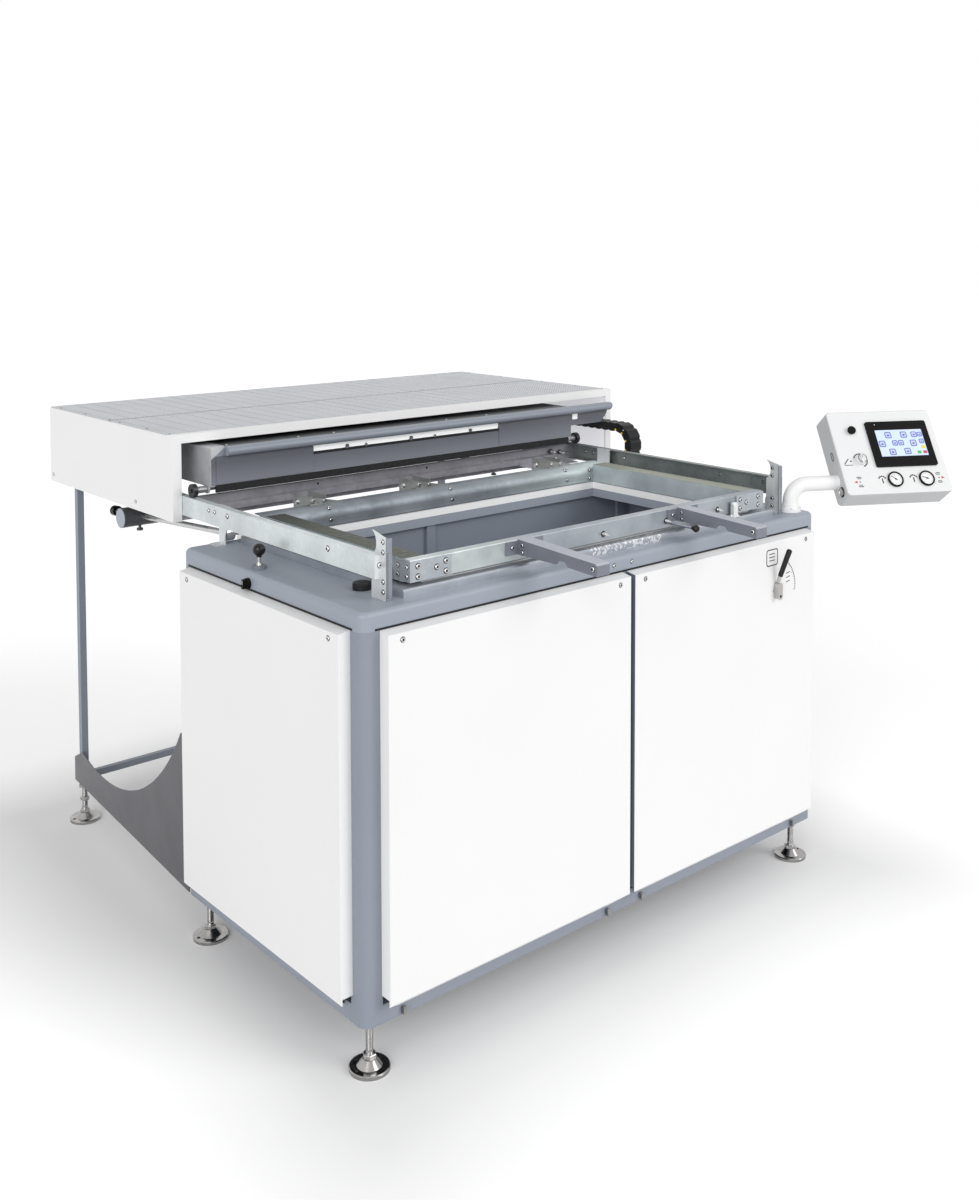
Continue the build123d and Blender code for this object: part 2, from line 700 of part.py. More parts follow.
# Each hinge arm is a channel: two cheeks from the rear bar down to the shaft, and a sloping brace on the bar.
arm_t = 3
arm_y0 = clamp_y1 - arm_reach
with BuildPart() as hinge_arms:
    for x in arm_xs:
        for cheek in (x - arm_w / 2, x + arm_w / 2 - arm_t):
            with BuildSketch(Plane.YZ.offset(cheek)):
                with BuildLine():
                    Polyline((clamp_y1, clamp_z1), (arm_y0, clamp_z1), (arm_y0, arm_top_z),
                             (hinge_y + arm_tail, arm_top_z), (hinge_y + arm_tail, arm_low_z),
                             (hinge_y + 13, hinge_z + 6))
                    ThreePointArc((hinge_y + 13, hinge_z + 6), (hinge_y, hinge_z - 14), (hinge_y - 13, hinge_z - 6))
                    Polyline((hinge_y - 13, hinge_z - 6), (clamp_y1, clamp_z0 + 8), (clamp_y1, clamp_z1))
                make_face()
                with Locations((hinge_y, hinge_z)):
                    Circle(hinge_d / 2, mode=Mode.SUBTRACT)
            extrude(amount=arm_t)
        with BuildSketch(Plane((0, arm_y0, 0), x_dir=(-1, 0, 0), z_dir=(0, 1, 0))):
            with BuildLine():
                Polyline((-x + arm_w / 2, clamp_z1), (-x + arm_w / 2, arm_top_z),
                         (-x - arm_w / 2 - arm_brace, clamp_z1), close=True)
            make_face()
        extrude(amount=arm_t)
save(hinge_arms, "hinge_arms")

# Counterbalance: a lever hub on each end of the shaft, a rod to the rear and a round weight on it.
fall = radians(rod_drop)
rod_dir = (0, cos(fall), -sin(fall))
with BuildPart() as balance_rods:
    for sx in (-1, 1):
        with BuildSketch(hinge_axis.offset(sx * hub_x - hub_w / 2)):
            Circle(hub_r)
        extrude(amount=hub_w)
        with BuildSketch(Plane((sx * hub_x, hinge_y, hinge_z), x_dir=(1, 0, 0), z_dir=rod_dir)):
            Circle(rod_d / 2)
        extrude(amount=rod_l)
        with BuildSketch(Plane((sx * hub_x, hinge_y + (rod_l - cap_l) * cos(fall),
                                hinge_z - (rod_l - cap_l) * sin(fall)), x_dir=(1, 0, 0), z_dir=rod_dir)):
            Circle(cap_d / 2)
        extrude(amount=cap_l)
    with BuildSketch(hinge_axis):
        Circle(hinge_d / 2)
    extrude(amount=hinge_half + 1, both=True, mode=Mode.SUBTRACT)
save(balance_rods, "balance_rods")

weight_y = hinge_y + weight_at * cos(fall)
weight_z = hinge_z - weight_at * sin(fall)
with BuildPart() as balance_weights:
    for sx in (-1, 1):
        with BuildSketch(Plane((sx * hub_x - weight_l / 2, weight_y, weight_z), x_dir=(0, 1, 0), z_dir=(1, 0, 0))):
            Circle(weight_d / 2)
        extrude(amount=weight_l)
        with BuildSketch(Plane((sx * hub_x, weight_y, weight_z - weight_d / 2 + 2), z_dir=(0, 0, -1))):
            Circle(4)
        extrude(amount=10)
        with BuildSketch(Plane((sx * hub_x, weight_y, weight_z - weight_d / 2 - 8), z_dir=(0, 0, -1))):
            Circle(9)
        extrude(amount=6)
    fillet(balance_weights.edges().filter_by(GeomType.CIRCLE).filter_by(
        lambda e: abs(e.radius - weight_d / 2) < 0.1), 1.5)
    for sx in (-1, 1):
        with BuildSketch(Plane((sx * hub_x, hinge_y, hinge_z), x_dir=(1, 0, 0), z_dir=rod_dir)):
            Circle(rod_d / 2)
        extrude(amount=rod_l, mode=Mode.SUBTRACT)
save(balance_weights, "balance_weights")

# Moulded fittings on the deck: a round buffer by the left rail, and the socket of the ball lever.
buffer_x = -664
buffer_y = -226
buffer_d = 42
buffer_h = 16
base_h = 8
with BuildPart() as deck_fittings:
    with BuildSketch(Plane.XY.offset(deck_z)):
        with Locations((buffer_x, buffer_y)):
            Circle(buffer_d / 2)
    extrude(amount=buffer_h)
    fillet(deck_fittings.edges().group_by(Axis.Z)[-1], 4)
    with BuildSketch(Plane.XY.offset(deck_z)):
        with Locations((ball_x, ball_y)):
            Circle(17)
    extrude(amount=base_h)
    with Locations((ball_x, ball_y, deck_z + base_h)):
        Sphere(7 + run_fit, mode=Mode.SUBTRACT)
save(deck_fittings, "deck_fittings")

# Machined guide block at the front right, which centres the closing clamp frame.
guide_block_x = 480
guide_block_t = 11
guide_block_w = 17
guide_block_h = 40
with BuildPart() as guide_block:
    guide_y1 = clamp_y0 - corner_plate_t - 1
    with BuildSketch(Plane.XY.offset(deck_z + seat_h)):
        with Locations((guide_block_x, guide_y1 - guide_block_t / 2)):
            RectangleRounded(2 * guide_block_w, guide_block_t, 2)
    extrude(amount=5)
    with BuildSketch(Plane.YZ.offset(guide_block_x - guide_block_w / 2)):
        with BuildLine():
            guide_y0 = guide_y1 - guide_block_t
            guide_z0 = deck_z + seat_h
            Polyline((guide_y0, guide_z0), (guide_y0, guide_z0 + guide_block_h - 6),
                     (guide_y0 + 5, guide_z0 + guide_block_h), (guide_y1, guide_z0 + guide_block_h),
                     (guide_y1, guide_z0), close=True)
        make_face()
    extrude(amount=guide_block_w)
save(guide_block, "guide_block")

# Hood: two side walls and a rear wall of folded sheet, a front frame round its mouth, and a top of
# perforated trays. It stands on the two bearers under the rails.
hood_open_z = hood_z1 - hood_strip


def hood_side(x_out, turn):
    """A side wall, with its edges folded inwards by `turn`."""
    with BuildPart() as wall:
        with BuildSketch(Plane((0, 0, hood_z0), x_dir=(1, 0, 0), z_dir=(0, 0, 1))):
            with BuildLine():
                x_in = x_out + turn * hood_t
                fold = x_out + turn * 18
                Polyline((x_out, hood_y0 + bearer_w), (x_out, hood_y1), (fold, hood_y1), (fold, hood_y1 - hood_t),
                         (x_in, hood_y1 - hood_t), (x_in, hood_y0 + bearer_w), close=True)
            make_face()
        extrude(amount=hood_z1 - hood_z0 - hood_t)
    return wall


left_hood_panel = hood_side(hood_x0, 1)
save(left_hood_panel, "left_hood_panel")
right_hood_panel = hood_side(hood_x1, -1)
save(right_hood_panel, "right_hood_panel")

with BuildPart() as hood_rear_panel:
    block(hood_x0 + 18, hood_x1 - 18, hood_y1 - hood_t, hood_y1, hood_z0, hood_z1 - hood_t)
    block(hood_x0 + 18, hood_x1 - 18, hood_y1 - 20, hood_y1 - hood_t, hood_z0, hood_z0 + hood_t)
save(hood_rear_panel, "hood_rear_panel")

with BuildPart() as hood_front_frame:
    with BuildSketch(Plane((0, hood_y0, 0), x_dir=(1, 0, 0), z_dir=(0, -1, 0))):
        with BuildLine():
            Polyline((hood_x0, hood_z0), (hood_x0, hood_z1), (hood_x1, hood_z1), (hood_x1, hood_z0),
                     (hood_x1 - hood_post, hood_z0), (hood_x1 - hood_post, hood_open_z),
                     (hood_x0 + hood_post, hood_open_z), (hood_x0 + hood_post, hood_z0), close=True)
        make_face()
    extrude(amount=-bearer_w)
    with BuildSketch(Plane((0, hood_y0 + hood_t, 0), x_dir=(1, 0, 0), z_dir=(0, -1, 0))):
        with Locations((hood_x0 + hood_t + (hood_post - hood_t) / 2, (hood_z0 + hood_open_z) / 2 - hood_t),
                       (hood_x1 - hood_t - (hood_post - hood_t) / 2, (hood_z0 + hood_open_z) / 2 - hood_t)):
            Rectangle(hood_post - hood_t + 1, hood_open_z - hood_z0)
    extrude(amount=-bearer_w, mode=Mode.SUBTRACT)
save(hood_front_frame, "hood_front_frame")

grille_cols = 12
grille_lip = 10
seam_y = 921
grille_x0 = hood_x0 + hood_t
grille_x1 = hood_x1 - hood_t
grille_pitch = (grille_x1 - grille_x0) / grille_cols
with BuildPart() as hood_top:
    block(grille_x0, grille_x1, hood_y0 + bearer_w, hood_y1 - hood_t, hood_z1 - hood_t, hood_z1)
    with BuildSketch(Plane.XY.offset(hood_z1)):
        for y0, y1 in ((hood_y0 + bearer_w, seam_y), (seam_y, hood_y1 - hood_t)):
            with Locations(((grille_x0 + grille_x1) / 2, (y0 + y1) / 2)):
                with GridLocations(grille_pitch, 1, grille_cols, 1):
                    Rectangle(grille_pitch - 2 * grille_lip, y1 - y0 - 2 * grille_lip)
    extrude(amount=-1.2, mode=Mode.SUBTRACT)
    block(grille_x0 + 20, grille_x1 - 20, seam_y - 10, seam_y + 10, hood_z1 - 23, hood_z1 - hood_t)
save(hood_top, "hood_top")

# Heater carriage: an open-bottomed tray of folded sheet, with ears for the wheel axles.
axle_z = rail_z1 + wheel_d / 2
axle_ys = (heat_y0 + axle_in, heat_y1 - axle_in)
with BuildPart() as heater_casing:
    with BuildSketch(Plane.XY.offset(heat_z0)):
        with Locations((0, (heat_y0 + heat_y1) / 2)):
            Rectangle(2 * heat_x, heat_y1 - heat_y0)
    extrude(amount=heat_z1 - heat_z0)
    offset(amount=-heat_t, openings=heater_casing.faces().sort_by(Axis.Z)[0])
    for sx in (-1, 1):
        for y in axle_ys:
            with BuildSketch(Plane((sx * heat_x, y, axle_z), x_dir=(0, 1, 0), z_dir=(1, 0, 0))):
                with BuildLine():
                    Polyline((-14, 70), (-14, 0))
                    ThreePointArc((-14, 0), (0, -12), (14, 0))
                    Polyline((14, 0), (14, 70), (-14, 70))
                make_face()
            extrude(amount=sx * ear_t)
            with Locations(Plane((sx * heat_x, y, axle_z), z_dir=(1, 0, 0))):
                Cylinder(axle_d / 2 + run_fit, 30, mode=Mode.SUBTRACT)
save(heater_casing, "heater_casing")

# Radiant elements: curved ceramic troughs in a grid, each on two ceramic stubs from the tray's roof.
element_l = 196
element_w = 62
element_h = 22
with BuildPart() as heater_elements:
    pitch_x = (2 * heat_x - 60) / element_cols
    pitch_y = (heat_y1 - heat_y0 - 90) / element_rows
    mid_y = (heat_y0 + heat_y1) / 2
    element_z = heat_z0 + 42
    with GridLocations(pitch_x, pitch_y, element_cols, element_rows) as grid:
        places = [loc.position for loc in grid.locations]
    for place in places:
        cx = place.X
        cy = place.Y + mid_y
        with BuildSketch(Plane.YZ.offset(cx - element_l / 2)):
            with BuildLine():
                a = (cy - element_w / 2, element_z)
                b = (cy + element_w / 2, element_z)
                ThreePointArc(a, (cy, element_z - element_h), b)
                Line(b, a)
            make_face()
        extrude(amount=element_l)
        block(cx - 30, cx + 30, cy - 8, cy + 8, element_z, heat_z1 - heat_t)
save(heater_elements, "heater_elements")

# Fascia across the carriage's front: a rolled lip along the top, a long hand slot under it, with
# studs in the slot, a raised plate at each side, and a wing with a square hole out over the right rail.
fascia_z0 = heat_z0 + 5
plate_x = 640
plate_rise = 2
stud_pitch = 226
lip_z0 = heat_z1 - nose_h + 2
wing_z0 = 1165
wing_hole_x = 672
wing_hole_z = 1184
wing_hole_w = 28
with BuildPart() as heater_fascia:
    with BuildSketch(Plane((0, heat_y0 - fascia_t, 0), x_dir=(1, 0, 0), z_dir=(0, -1, 0))):
        with BuildLine():
            Polyline((-heat_x, fascia_z0), (-heat_x, heat_z1 - 30), (nose_x0, heat_z1), (heat_x, heat_z1),
                     (heat_x, fascia_z0), close=True)
        make_face()
        with Locations((0, (slot_z0 + lip_z0) / 2)):
            Rectangle(2 * slot_x, lip_z0 - slot_z0, mode=Mode.SUBTRACT)
    extrude(amount=-fascia_t)
    with BuildSketch(Plane((0, heat_y0, 0), x_dir=(1, 0, 0), z_dir=(0, -1, 0))):
        with BuildLine():
            Polyline((heat_x, wing_z0), (nose_x1 - 41, wing_z0), (nose_x1 - 13, wing_z0 + 25),
                     (nose_x1, heat_z1 - 3), (nose_x1, heat_z1), (heat_x, heat_z1), close=True)
        make_face()
    extrude(amount=fascia_t)
    with BuildSketch(Plane((0, heat_y0, 0), x_dir=(1, 0, 0), z_dir=(0, -1, 0))):
        with Locations((wing_hole_x, (wing_hole_z + lip_z0) / 2)):
            Rectangle(wing_hole_w, lip_z0 - wing_hole_z, mode=Mode.ADD)
    extrude(amount=2 * fascia_t, both=True, mode=Mode.SUBTRACT)
    with BuildSketch(Plane((0, heat_y0 - fascia_t, 0), x_dir=(1, 0, 0), z_dir=(0, -1, 0))):
        with Locations((-(plate_x + slot_x) / 2, (fascia_z0 + lip_z0) / 2),
                       ((plate_x + slot_x) / 2, (fascia_z0 + lip_z0) / 2)):
            RectangleRounded(plate_x - slot_x, lip_z0 - fascia_z0 - 4, 4)
    extrude(amount=plate_rise)
    with BuildSketch(Plane((0, heat_y0, 0), x_dir=(1, 0, 0), z_dir=(0, -1, 0))):
        with Locations(*[(x, (slot_z0 + lip_z0) / 2) for x in (-stud_pitch, 0, stud_pitch)]):
            Circle(5)
    extrude(amount=fascia_t + plate_rise)
    with BuildSketch(Plane.YZ.offset(nose_x0)):
        with BuildLine():
            tip = heat_y0 - fascia_t - nose_out
            Polyline((heat_y0 - fascia_t, lip_z0), (tip + nose_h / 2, lip_z0))
            ThreePointArc((tip + nose_h / 2, lip_z0), (tip, lip_z0 + nose_h / 2), (tip + nose_h / 2, lip_z0 + nose_h))
            Polyline((tip + nose_h / 2, lip_z0 + nose_h), (heat_y0 - fascia_t + 8, lip_z0 + nose_h),
                     (heat_y0 - fascia_t + 8, heat_z1), (heat_y0 - fascia_t, heat_z1),
                     (heat_y0 - fascia_t, lip_z0))
        make_face()
    extrude(amount=nose_x1 - nose_x0)
    with BuildSketch(Plane((0, heat_y0, 0), x_dir=(1, 0, 0), z_dir=(0, -1, 0))):
        with BuildLine():
            Polyline((nose_x1, heat_z1 - 3), (nose_x1 - 13, wing_z0 + 25), (nose_x1 + 1, wing_z0 + 25),
                     (nose_x1 + 1, heat_z1 - 3), close=True)
        make_face()
    extrude(amount=2 * (fascia_t + nose_out), mode=Mode.SUBTRACT)
save(heater_fascia, "heater_fascia")

# Black seal strip that hangs under the carriage's front edge.
seal_h = 15
with BuildPart() as heater_seal:
    block(-plate_x, plate_x, heat_y0 - fascia_t, heat_y0 + 2, heat_z0 - seal_h, heat_z0)
    block(-plate_x, plate_x, heat_y0 - fascia_t, heat_y0, heat_z0, fascia_z0)
save(heater_seal, "heater_seal")


def wheelset(y):
    """A through axle with a flanged roller keyed on each end."""
    with BuildPart() as axle:
        with BuildSketch(Plane((0, y, axle_z), x_dir=(0, 1, 0), z_dir=(1, 0, 0))):
            Circle(axle_d / 2)
        extrude(amount=rail_x - 1, both=True)
        for sx in (-1, 1):
            outer = rail_x - 4
            with BuildSketch(Plane((sx * outer, y, axle_z), x_dir=(0, 1, 0), z_dir=(sx, 0, 0))):
                Circle(wheel_d / 2 - 0.3)
            extrude(amount=-wheel_w)
            with BuildSketch(Plane((sx * (outer - wheel_w), y, axle_z), x_dir=(0, 1, 0), z_dir=(sx, 0, 0))):
                Circle(9)
            extrude(amount=-(outer - wheel_w - heat_x - ear_t - 1))
    return axle


front_wheels = wheelset(axle_ys[0])
save(front_wheels, "front_wheels")
rear_wheels = wheelset(axle_ys[1])
save(rear_wheels, "rear_wheels")

# Cable chain: linked plates that double back on themselves in a half turn beside the right rail.
# The loop runs at half the carriage's speed.
lower_n = int((chain_back - 60 - chain_front) / chain_pitch)
bend_n = 5
with BuildPart() as cable_chain:
    with BuildSketch(Plane.YZ.offset(chain_x - chain_w / 2)):
        centre_z = chain_z + chain_r
        for z, count in ((chain_z, lower_n), (chain_z + 2 * chain_r, lower_n - 8)):
            for i in range(count):
                with Locations((chain_front + chain_r + (i + 0.5) * chain_pitch, z)):
                    SlotOverall(chain_pitch + 4, chain_h)
                    Rectangle(chain_pitch - 6, chain_h - 4)
        for i in range(bend_n):
            turn = radians(90 + (i + 0.5) * 180 / bend_n)
            with Locations(Location((chain_front + chain_r + chain_r * cos(turn), centre_z + chain_r * sin(turn)),
                                    degrees(turn) + 90)):
                SlotOverall(pi * chain_r / bend_n + 8, chain_h)
    extrude(amount=chain_w)
save(cable_chain, "cable_chain")

# Forming table: a thick plate with a seal groove round its edge.
table_w = win_w - 2 * table_gap
table_d = win_d - 2 * table_gap
with BuildPart() as forming_table:
    with BuildSketch(Plane.XY.offset(table_rest_z - table_t)):
        with Locations((0, win_y)):
            Rectangle(table_w, table_d)
    extrude(amount=table_t)
    with BuildSketch(Plane.XY.offset(table_rest_z - table_t / 2 - 3)):
        with Locations((0, win_y)):
            Rectangle(table_w + 2, table_d + 2)
            Rectangle(table_w - 6, table_d - 6, mode=Mode.SUBTRACT)
    extrude(amount=6, mode=Mode.SUBTRACT)
save(forming_table, "forming_table")

# Piston rod and four guide rods, screwed up into the table's underside.
rod_bottom = 150
cylinder_d = 90
cylinder_top = guide_beam_z + rail_h + 10
piston_d = 32
with BuildPart() as table_rods:
    with BuildSketch(Plane.XY.offset(rod_bottom)):
        with GridLocations(2 * guide_x, 2 * guide_y, 2, 2):
            Circle(guide_d / 2)
    extrude(amount=table_rest_z - table_t - rod_bottom)
    with BuildSketch(Plane.XY.offset(cylinder_top - 40)):
        Circle(piston_d / 2)
    extrude(amount=table_rest_z - table_t - cylinder_top + 40)
save(table_rods, "table_rods")

with BuildPart() as guide_bushes:
    with BuildSketch(Plane.XY.offset(guide_beam_z - 10)):
        with GridLocations(2 * guide_x, 2 * guide_y, 2, 2):
            Circle(bush_d / 2)
    extrude(amount=rail_h + 10)
    with BuildSketch(Plane.XY.offset(guide_beam_z + rail_h)):
        with GridLocations(2 * guide_x, 2 * guide_y, 2, 2):
            Circle(bush_d / 2 + 8)
    extrude(amount=7)
    with BuildSketch(Plane.XY.offset(guide_beam_z - 20)):
        with GridLocations(2 * guide_x, 2 * guide_y, 2, 2):
            Circle(guide_d / 2 + run_fit)
    extrude(amount=rail_h + 40, mode=Mode.SUBTRACT)
save(guide_bushes, "guide_bushes")

# Air cylinder of the lift: a barrel between two heads, hung from a plate across the lift beams.
barrel_l = 350
with BuildPart() as lift_cylinder:
    block(-90, 90, lift_beam_y[0], lift_beam_y[1] + rail_h, guide_beam_z + rail_h, cylinder_top)
    for z in (cylinder_top - 50, cylinder_top - 10 - barrel_l - 20):
        with BuildSketch(Plane.XY.offset(z)):
            RectangleRounded(cylinder_d + 20, cylinder_d + 20, 12)
        extrude(amount=40)
    with BuildSketch(Plane.XY.offset(cylinder_top - 10 - barrel_l)):
        Circle(cylinder_d / 2)
    extrude(amount=barrel_l)
    with BuildSketch(Plane.XY.offset(cylinder_top - 41)):
        Circle(piston_d / 2 + run_fit)
    extrude(amount=50, mode=Mode.SUBTRACT)
save(lift_cylinder, "lift_cylinder")

# Vacuum pump: a ribbed motor barrel and a pump block on one foot, on the frame's lower beams.
pump_x = 560
pump_y = 0
pump_z = cab_bottom + rail_h
motor_r = 85
with BuildPart() as vacuum_pump:
    block(pump_x - 160, pump_x + 150, -pump_beam_y - rail_h / 2, pump_beam_y + rail_h / 2, pump_z, pump_z + 6)
    with BuildSketch(Plane((pump_x - 150, pump_y, pump_z + 110), x_dir=(0, 1, 0), z_dir=(1, 0, 0))):
        Circle(motor_r)
        with PolarLocations(motor_r, 16):
            Rectangle(8, 5)
    extrude(amount=150)
    with BuildSketch(Plane((pump_x, pump_y, pump_z + 110), x_dir=(0, 1, 0), z_dir=(1, 0, 0))):
        RectangleRounded(150, 160, 16)
    extrude(amount=140)
    block(pump_x - 140, pump_x - 20, pump_y - 50, pump_y + 50, pump_z + 6, pump_z + 40)
    block(pump_x + 10, pump_x + 130, pump_y - 60, pump_y + 60, pump_z + 6, pump_z + 40)
    with BuildSketch(Plane.XY.offset(pump_z + 190)):
        with Locations((pump_x + 70, pump_y)):
            Circle(30)
    extrude(amount=30)
save(vacuum_pump, "vacuum_pump")

# Vacuum valve behind the right front panel, with the pipes to the pump and to the well.
valve_h = 70
with BuildPart() as vacuum_valve:
    with BuildSketch(Plane.XY.offset(lever_z - valve_h / 2)):
        with Locations((lever_x, valve_y)):
            Circle(24)
    extrude(amount=valve_h)
    with Locations((lever_x, valve_y, lever_z)):
        Sphere(28)
    with BuildSketch(Plane((lever_x, front, lever_z), x_dir=(1, 0, 0), z_dir=(0, 1, 0))):
        Circle(spindle_d / 2 + run_fit)
    extrude(amount=cab_d / 2 + valve_y - 4, mode=Mode.SUBTRACT)
save(vacuum_valve, "vacuum_valve")

pump_top = pump_z + 220
pipe_low = 440
with BuildPart() as vacuum_pipes:
    with BuildLine():
        FilletPolyline((pump_x + 70, pump_y, pump_top), (pump_x + 70, pump_y, pipe_low),
                       (lever_x, valve_y, pipe_low), (lever_x, valve_y, lever_z - valve_h / 2), radius=40)
    with BuildSketch(Plane.XY.offset(pump_top)):
        with Locations((pump_x + 70, pump_y)):
            Circle(pipe_d / 2)
    sweep()
    with BuildLine():
        FilletPolyline((lever_x, valve_y, lever_z + valve_h / 2), (lever_x, valve_y, port_z),
                       (lever_x, win_y0 - well_set + 5, port_z), radius=20)
    with BuildSketch(Plane.XY.offset(lever_z + valve_h / 2)):
        with Locations((lever_x, valve_y)):
            Circle(pipe_d / 2)
    sweep()
save(vacuum_pipes, "vacuum_pipes")

# Vacuum lever: a hub and spindle, a bent rod, and a moulded grip.
hub_y = front - panel_proud - 1
grip_lean = 30
lever_bend = 28
lever_end = lever_h - 30
hub_t = 8
with BuildPart() as vacuum_lever:
    with BuildSketch(Plane((lever_x, front + 8, lever_z), x_dir=(1, 0, 0), z_dir=(0, -1, 0))):
        Circle(spindle_d / 2)
    extrude(amount=panel_proud + 12)
    with BuildSketch(Plane((lever_x, hub_y, lever_z), x_dir=(1, 0, 0), z_dir=(0, -1, 0))):
        SlotOverall(46, 18, rotation=90)
    extrude(amount=2 * hub_t)
    with BuildSketch(Plane((lever_x, hub_y, lever_z - 14), x_dir=(1, 0, 0), z_dir=(0, -1, 0))):
        Circle(4)
    extrude(amount=2 * hub_t, mode=Mode.SUBTRACT)
    with BuildLine():
        FilletPolyline((lever_x, hub_y - hub_t, lever_z), (lever_x, hub_y - hub_t, lever_z + lever_bend),
                       (lever_x + 6, hub_y - grip_lean, lever_z + lever_end), radius=40)
    with BuildSketch(Plane.XY.offset(lever_z)):
        with Locations((lever_x, hub_y - hub_t)):
            Circle(5)
    sweep()
save(vacuum_lever, "vacuum_lever")

with BuildPart() as lever_grip:
    path = Vector(6, hub_t - grip_lean, lever_end - lever_bend).normalized()
    rod_end = Vector(lever_x + 6, hub_y - grip_lean, lever_z + lever_end)
    with BuildSketch(Plane(rod_end - path * 55, x_dir=(1, 0, 0), z_dir=path)):
        Circle(6.5)
    with BuildSketch(Plane(rod_end + path * 25, x_dir=(1, 0, 0), z_dir=path)):
        Circle(7.5)
    loft()
    fillet(lever_grip.edges().group_by(Axis.Z)[-1], 5)
    with BuildSketch(Plane(rod_end - path * 60, x_dir=(1, 0, 0), z_dir=path)):
        Circle(5)
    extrude(amount=60, mode=Mode.SUBTRACT)
save(lever_grip, "lever_grip")

# Ball lever on the deck's left edge: a stem with a ball at each end, the lower one in its socket.
with BuildPart() as ball_lever:
    with Locations((ball_x, ball_y, deck_z + base_h)):
        Sphere(7)
    with Locations((ball_x, ball_y, ball_z)):
        Sphere(ball_d / 2)
    with BuildSketch(Plane.XY.offset(deck_z + base_h)):
        with Locations((ball_x, ball_y)):
            Circle(4)
    extrude(amount=ball_z - deck_z - base_h)
save(ball_lever, "ball_lever")

# Pointer knob on the deck's left apron.
knob_plane = Plane((-side - 0.3, dial_knob_y, dial_knob_z), x_dir=(0, -1, 0), z_dir=(-1, 0, 0))
with BuildPart() as speed_knob:
    with BuildSketch(knob_plane):
        Circle(knob_d / 2)
    extrude(amount=8)
    with BuildSketch(knob_plane.offset(8)):
        RectangleRounded(8, knob_d - 2, 3)
    extrude(amount=9)
    with BuildSketch(knob_plane):
        Circle(knob_pin_d / 2)
    extrude(amount=-8)
save(speed_knob, "speed_knob")

# Control arm: a flanged socket on the deck and a bent tube out to the box.
arm_seat = deck_z + 3
with BuildPart() as arm_flange:
    with BuildSketch(Plane.XY.offset(deck_z)):
        with Locations((arm_x, arm_y)):
            Circle(arm_flange_d / 2)
    extrude(amount=arm_flange_t)
    with BuildSketch(Plane.XY.offset(deck_z + arm_flange_t)):
        with Locations((arm_x, arm_y)):
            Circle(arm_d / 2 + 4)
    extrude(amount=10)
    with BuildSketch(Plane.XY.offset(arm_seat)):
        with Locations((arm_x, arm_y)):
            Circle(arm_d / 2 + run_fit)
    extrude(amount=30, mode=Mode.SUBTRACT)
save(arm_flange, "arm_flange")

turn = radians(arm_turn)
tilt = radians(box_tilt)
box_u = Vector(cos(turn), sin(turn), 0)
box_out = Vector(sin(turn), -cos(turn), 0)
box_n = box_out * cos(tilt) + Vector(0, 0, 1) * sin(tilt)
box_v = box_out * -sin(tilt) + Vector(0, 0, 1) * cos(tilt)
elbow = Vector(arm_x, arm_y, arm_z)
box_c = elbow + box_u * (box_side + box_w / 2) - box_v * box_axis_v - box_n * box_axis_n
box_face = Plane(box_c, x_dir=box_u, z_dir=box_n)
tube_wall = 3
with BuildPart() as arm_tube:
    with BuildLine():
        FilletPolyline((arm_x, arm_y, arm_seat), elbow, elbow + box_u * (box_side + socket_l - 5), radius=elbow_r)
    with BuildSketch(Plane.XY.offset(arm_seat)):
        with Locations((arm_x, arm_y)):
            Circle(arm_d / 2)
            Circle(arm_d / 2 - tube_wall, mode=Mode.SUBTRACT)
    sweep()
save(arm_tube, "arm_tube")

# Control box: a rounded housing on the tube's end, with bores for its button and its dial.
button_at = (-100, 68)
button_d = 24
button_travel = 4
dial_at = (-96, -25)
dial_d = 30
with BuildPart() as control_box:
    with BuildSketch(box_face.offset(-box_t)):
        RectangleRounded(box_w, box_h, box_r)
    extrude(amount=box_t)
    fillet(control_box.faces().sort_by(Axis(box_c, box_n))[-1].edges(), 5)
    fillet(control_box.faces().sort_by(Axis(box_c, box_n))[0].edges(), 5)
    with BuildSketch(Plane(elbow + box_u * (box_side - 1), x_dir=box_v, z_dir=box_u)):
        Circle(arm_d / 2 + run_fit)
    extrude(amount=socket_l + 1, mode=Mode.SUBTRACT)
    with BuildSketch(box_face):
        with Locations(button_at):
            Circle(button_d / 2 - 2 + run_fit)
    extrude(amount=-20, mode=Mode.SUBTRACT)
    with BuildSketch(box_face):
        with Locations(dial_at):
            Circle(knob_pin_d / 2 + run_fit)
    extrude(amount=-14, mode=Mode.SUBTRACT)
save(control_box, "control_box")

with BuildPart() as push_button:
    with BuildSketch(box_face.offset(button_travel + 0.5)):
        with Locations(button_at):
            Circle(button_d / 2)
    extrude(amount=6)
    fillet(push_button.edges().filter_by(GeomType.CIRCLE), 1.5)
    with BuildSketch(box_face.offset(button_travel + 1)):
        with Locations(button_at):
            Circle(button_d / 2 - 2)
    extrude(amount=-16)
save(push_button, "push_button")

with BuildPart() as program_dial:
    with BuildSketch(box_face.offset(0.3)):
        with Locations(dial_at):
            Circle(dial_d / 2)
    extrude(amount=9)
    with BuildSketch(box_face.offset(9.3)):
        with Locations(dial_at):
            RectangleRounded(7, dial_d - 3, 3)
    extrude(amount=7)
    with BuildSketch(box_face.offset(1)):
        with Locations(dial_at):
            Circle(knob_pin_d / 2)
    extrude(amount=-12)
save(program_dial, "program_dial")

# Instruments let into the box's face: a display in a bezel and two round gauges.
with BuildPart() as instruments:
    with BuildSketch(box_face):
        with Locations((42.5, 21.5)):
            RectangleRounded(191, 143, 6)
        with Locations((-7, -89), (90, -90)):
            Circle(23)
    extrude(amount=6)
    with BuildSketch(box_face.offset(6)):
        with Locations((45, 23.5)):
            Rectangle(148, 85)
        with Locations((-7, -89), (90, -90)):
            Circle(19)
    extrude(amount=-2, mode=Mode.SUBTRACT)
save(instruments, "instruments")
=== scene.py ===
import json
from math import cos, pi, radians, sin

import bpy
import bmesh
from mathutils import Matrix, Vector


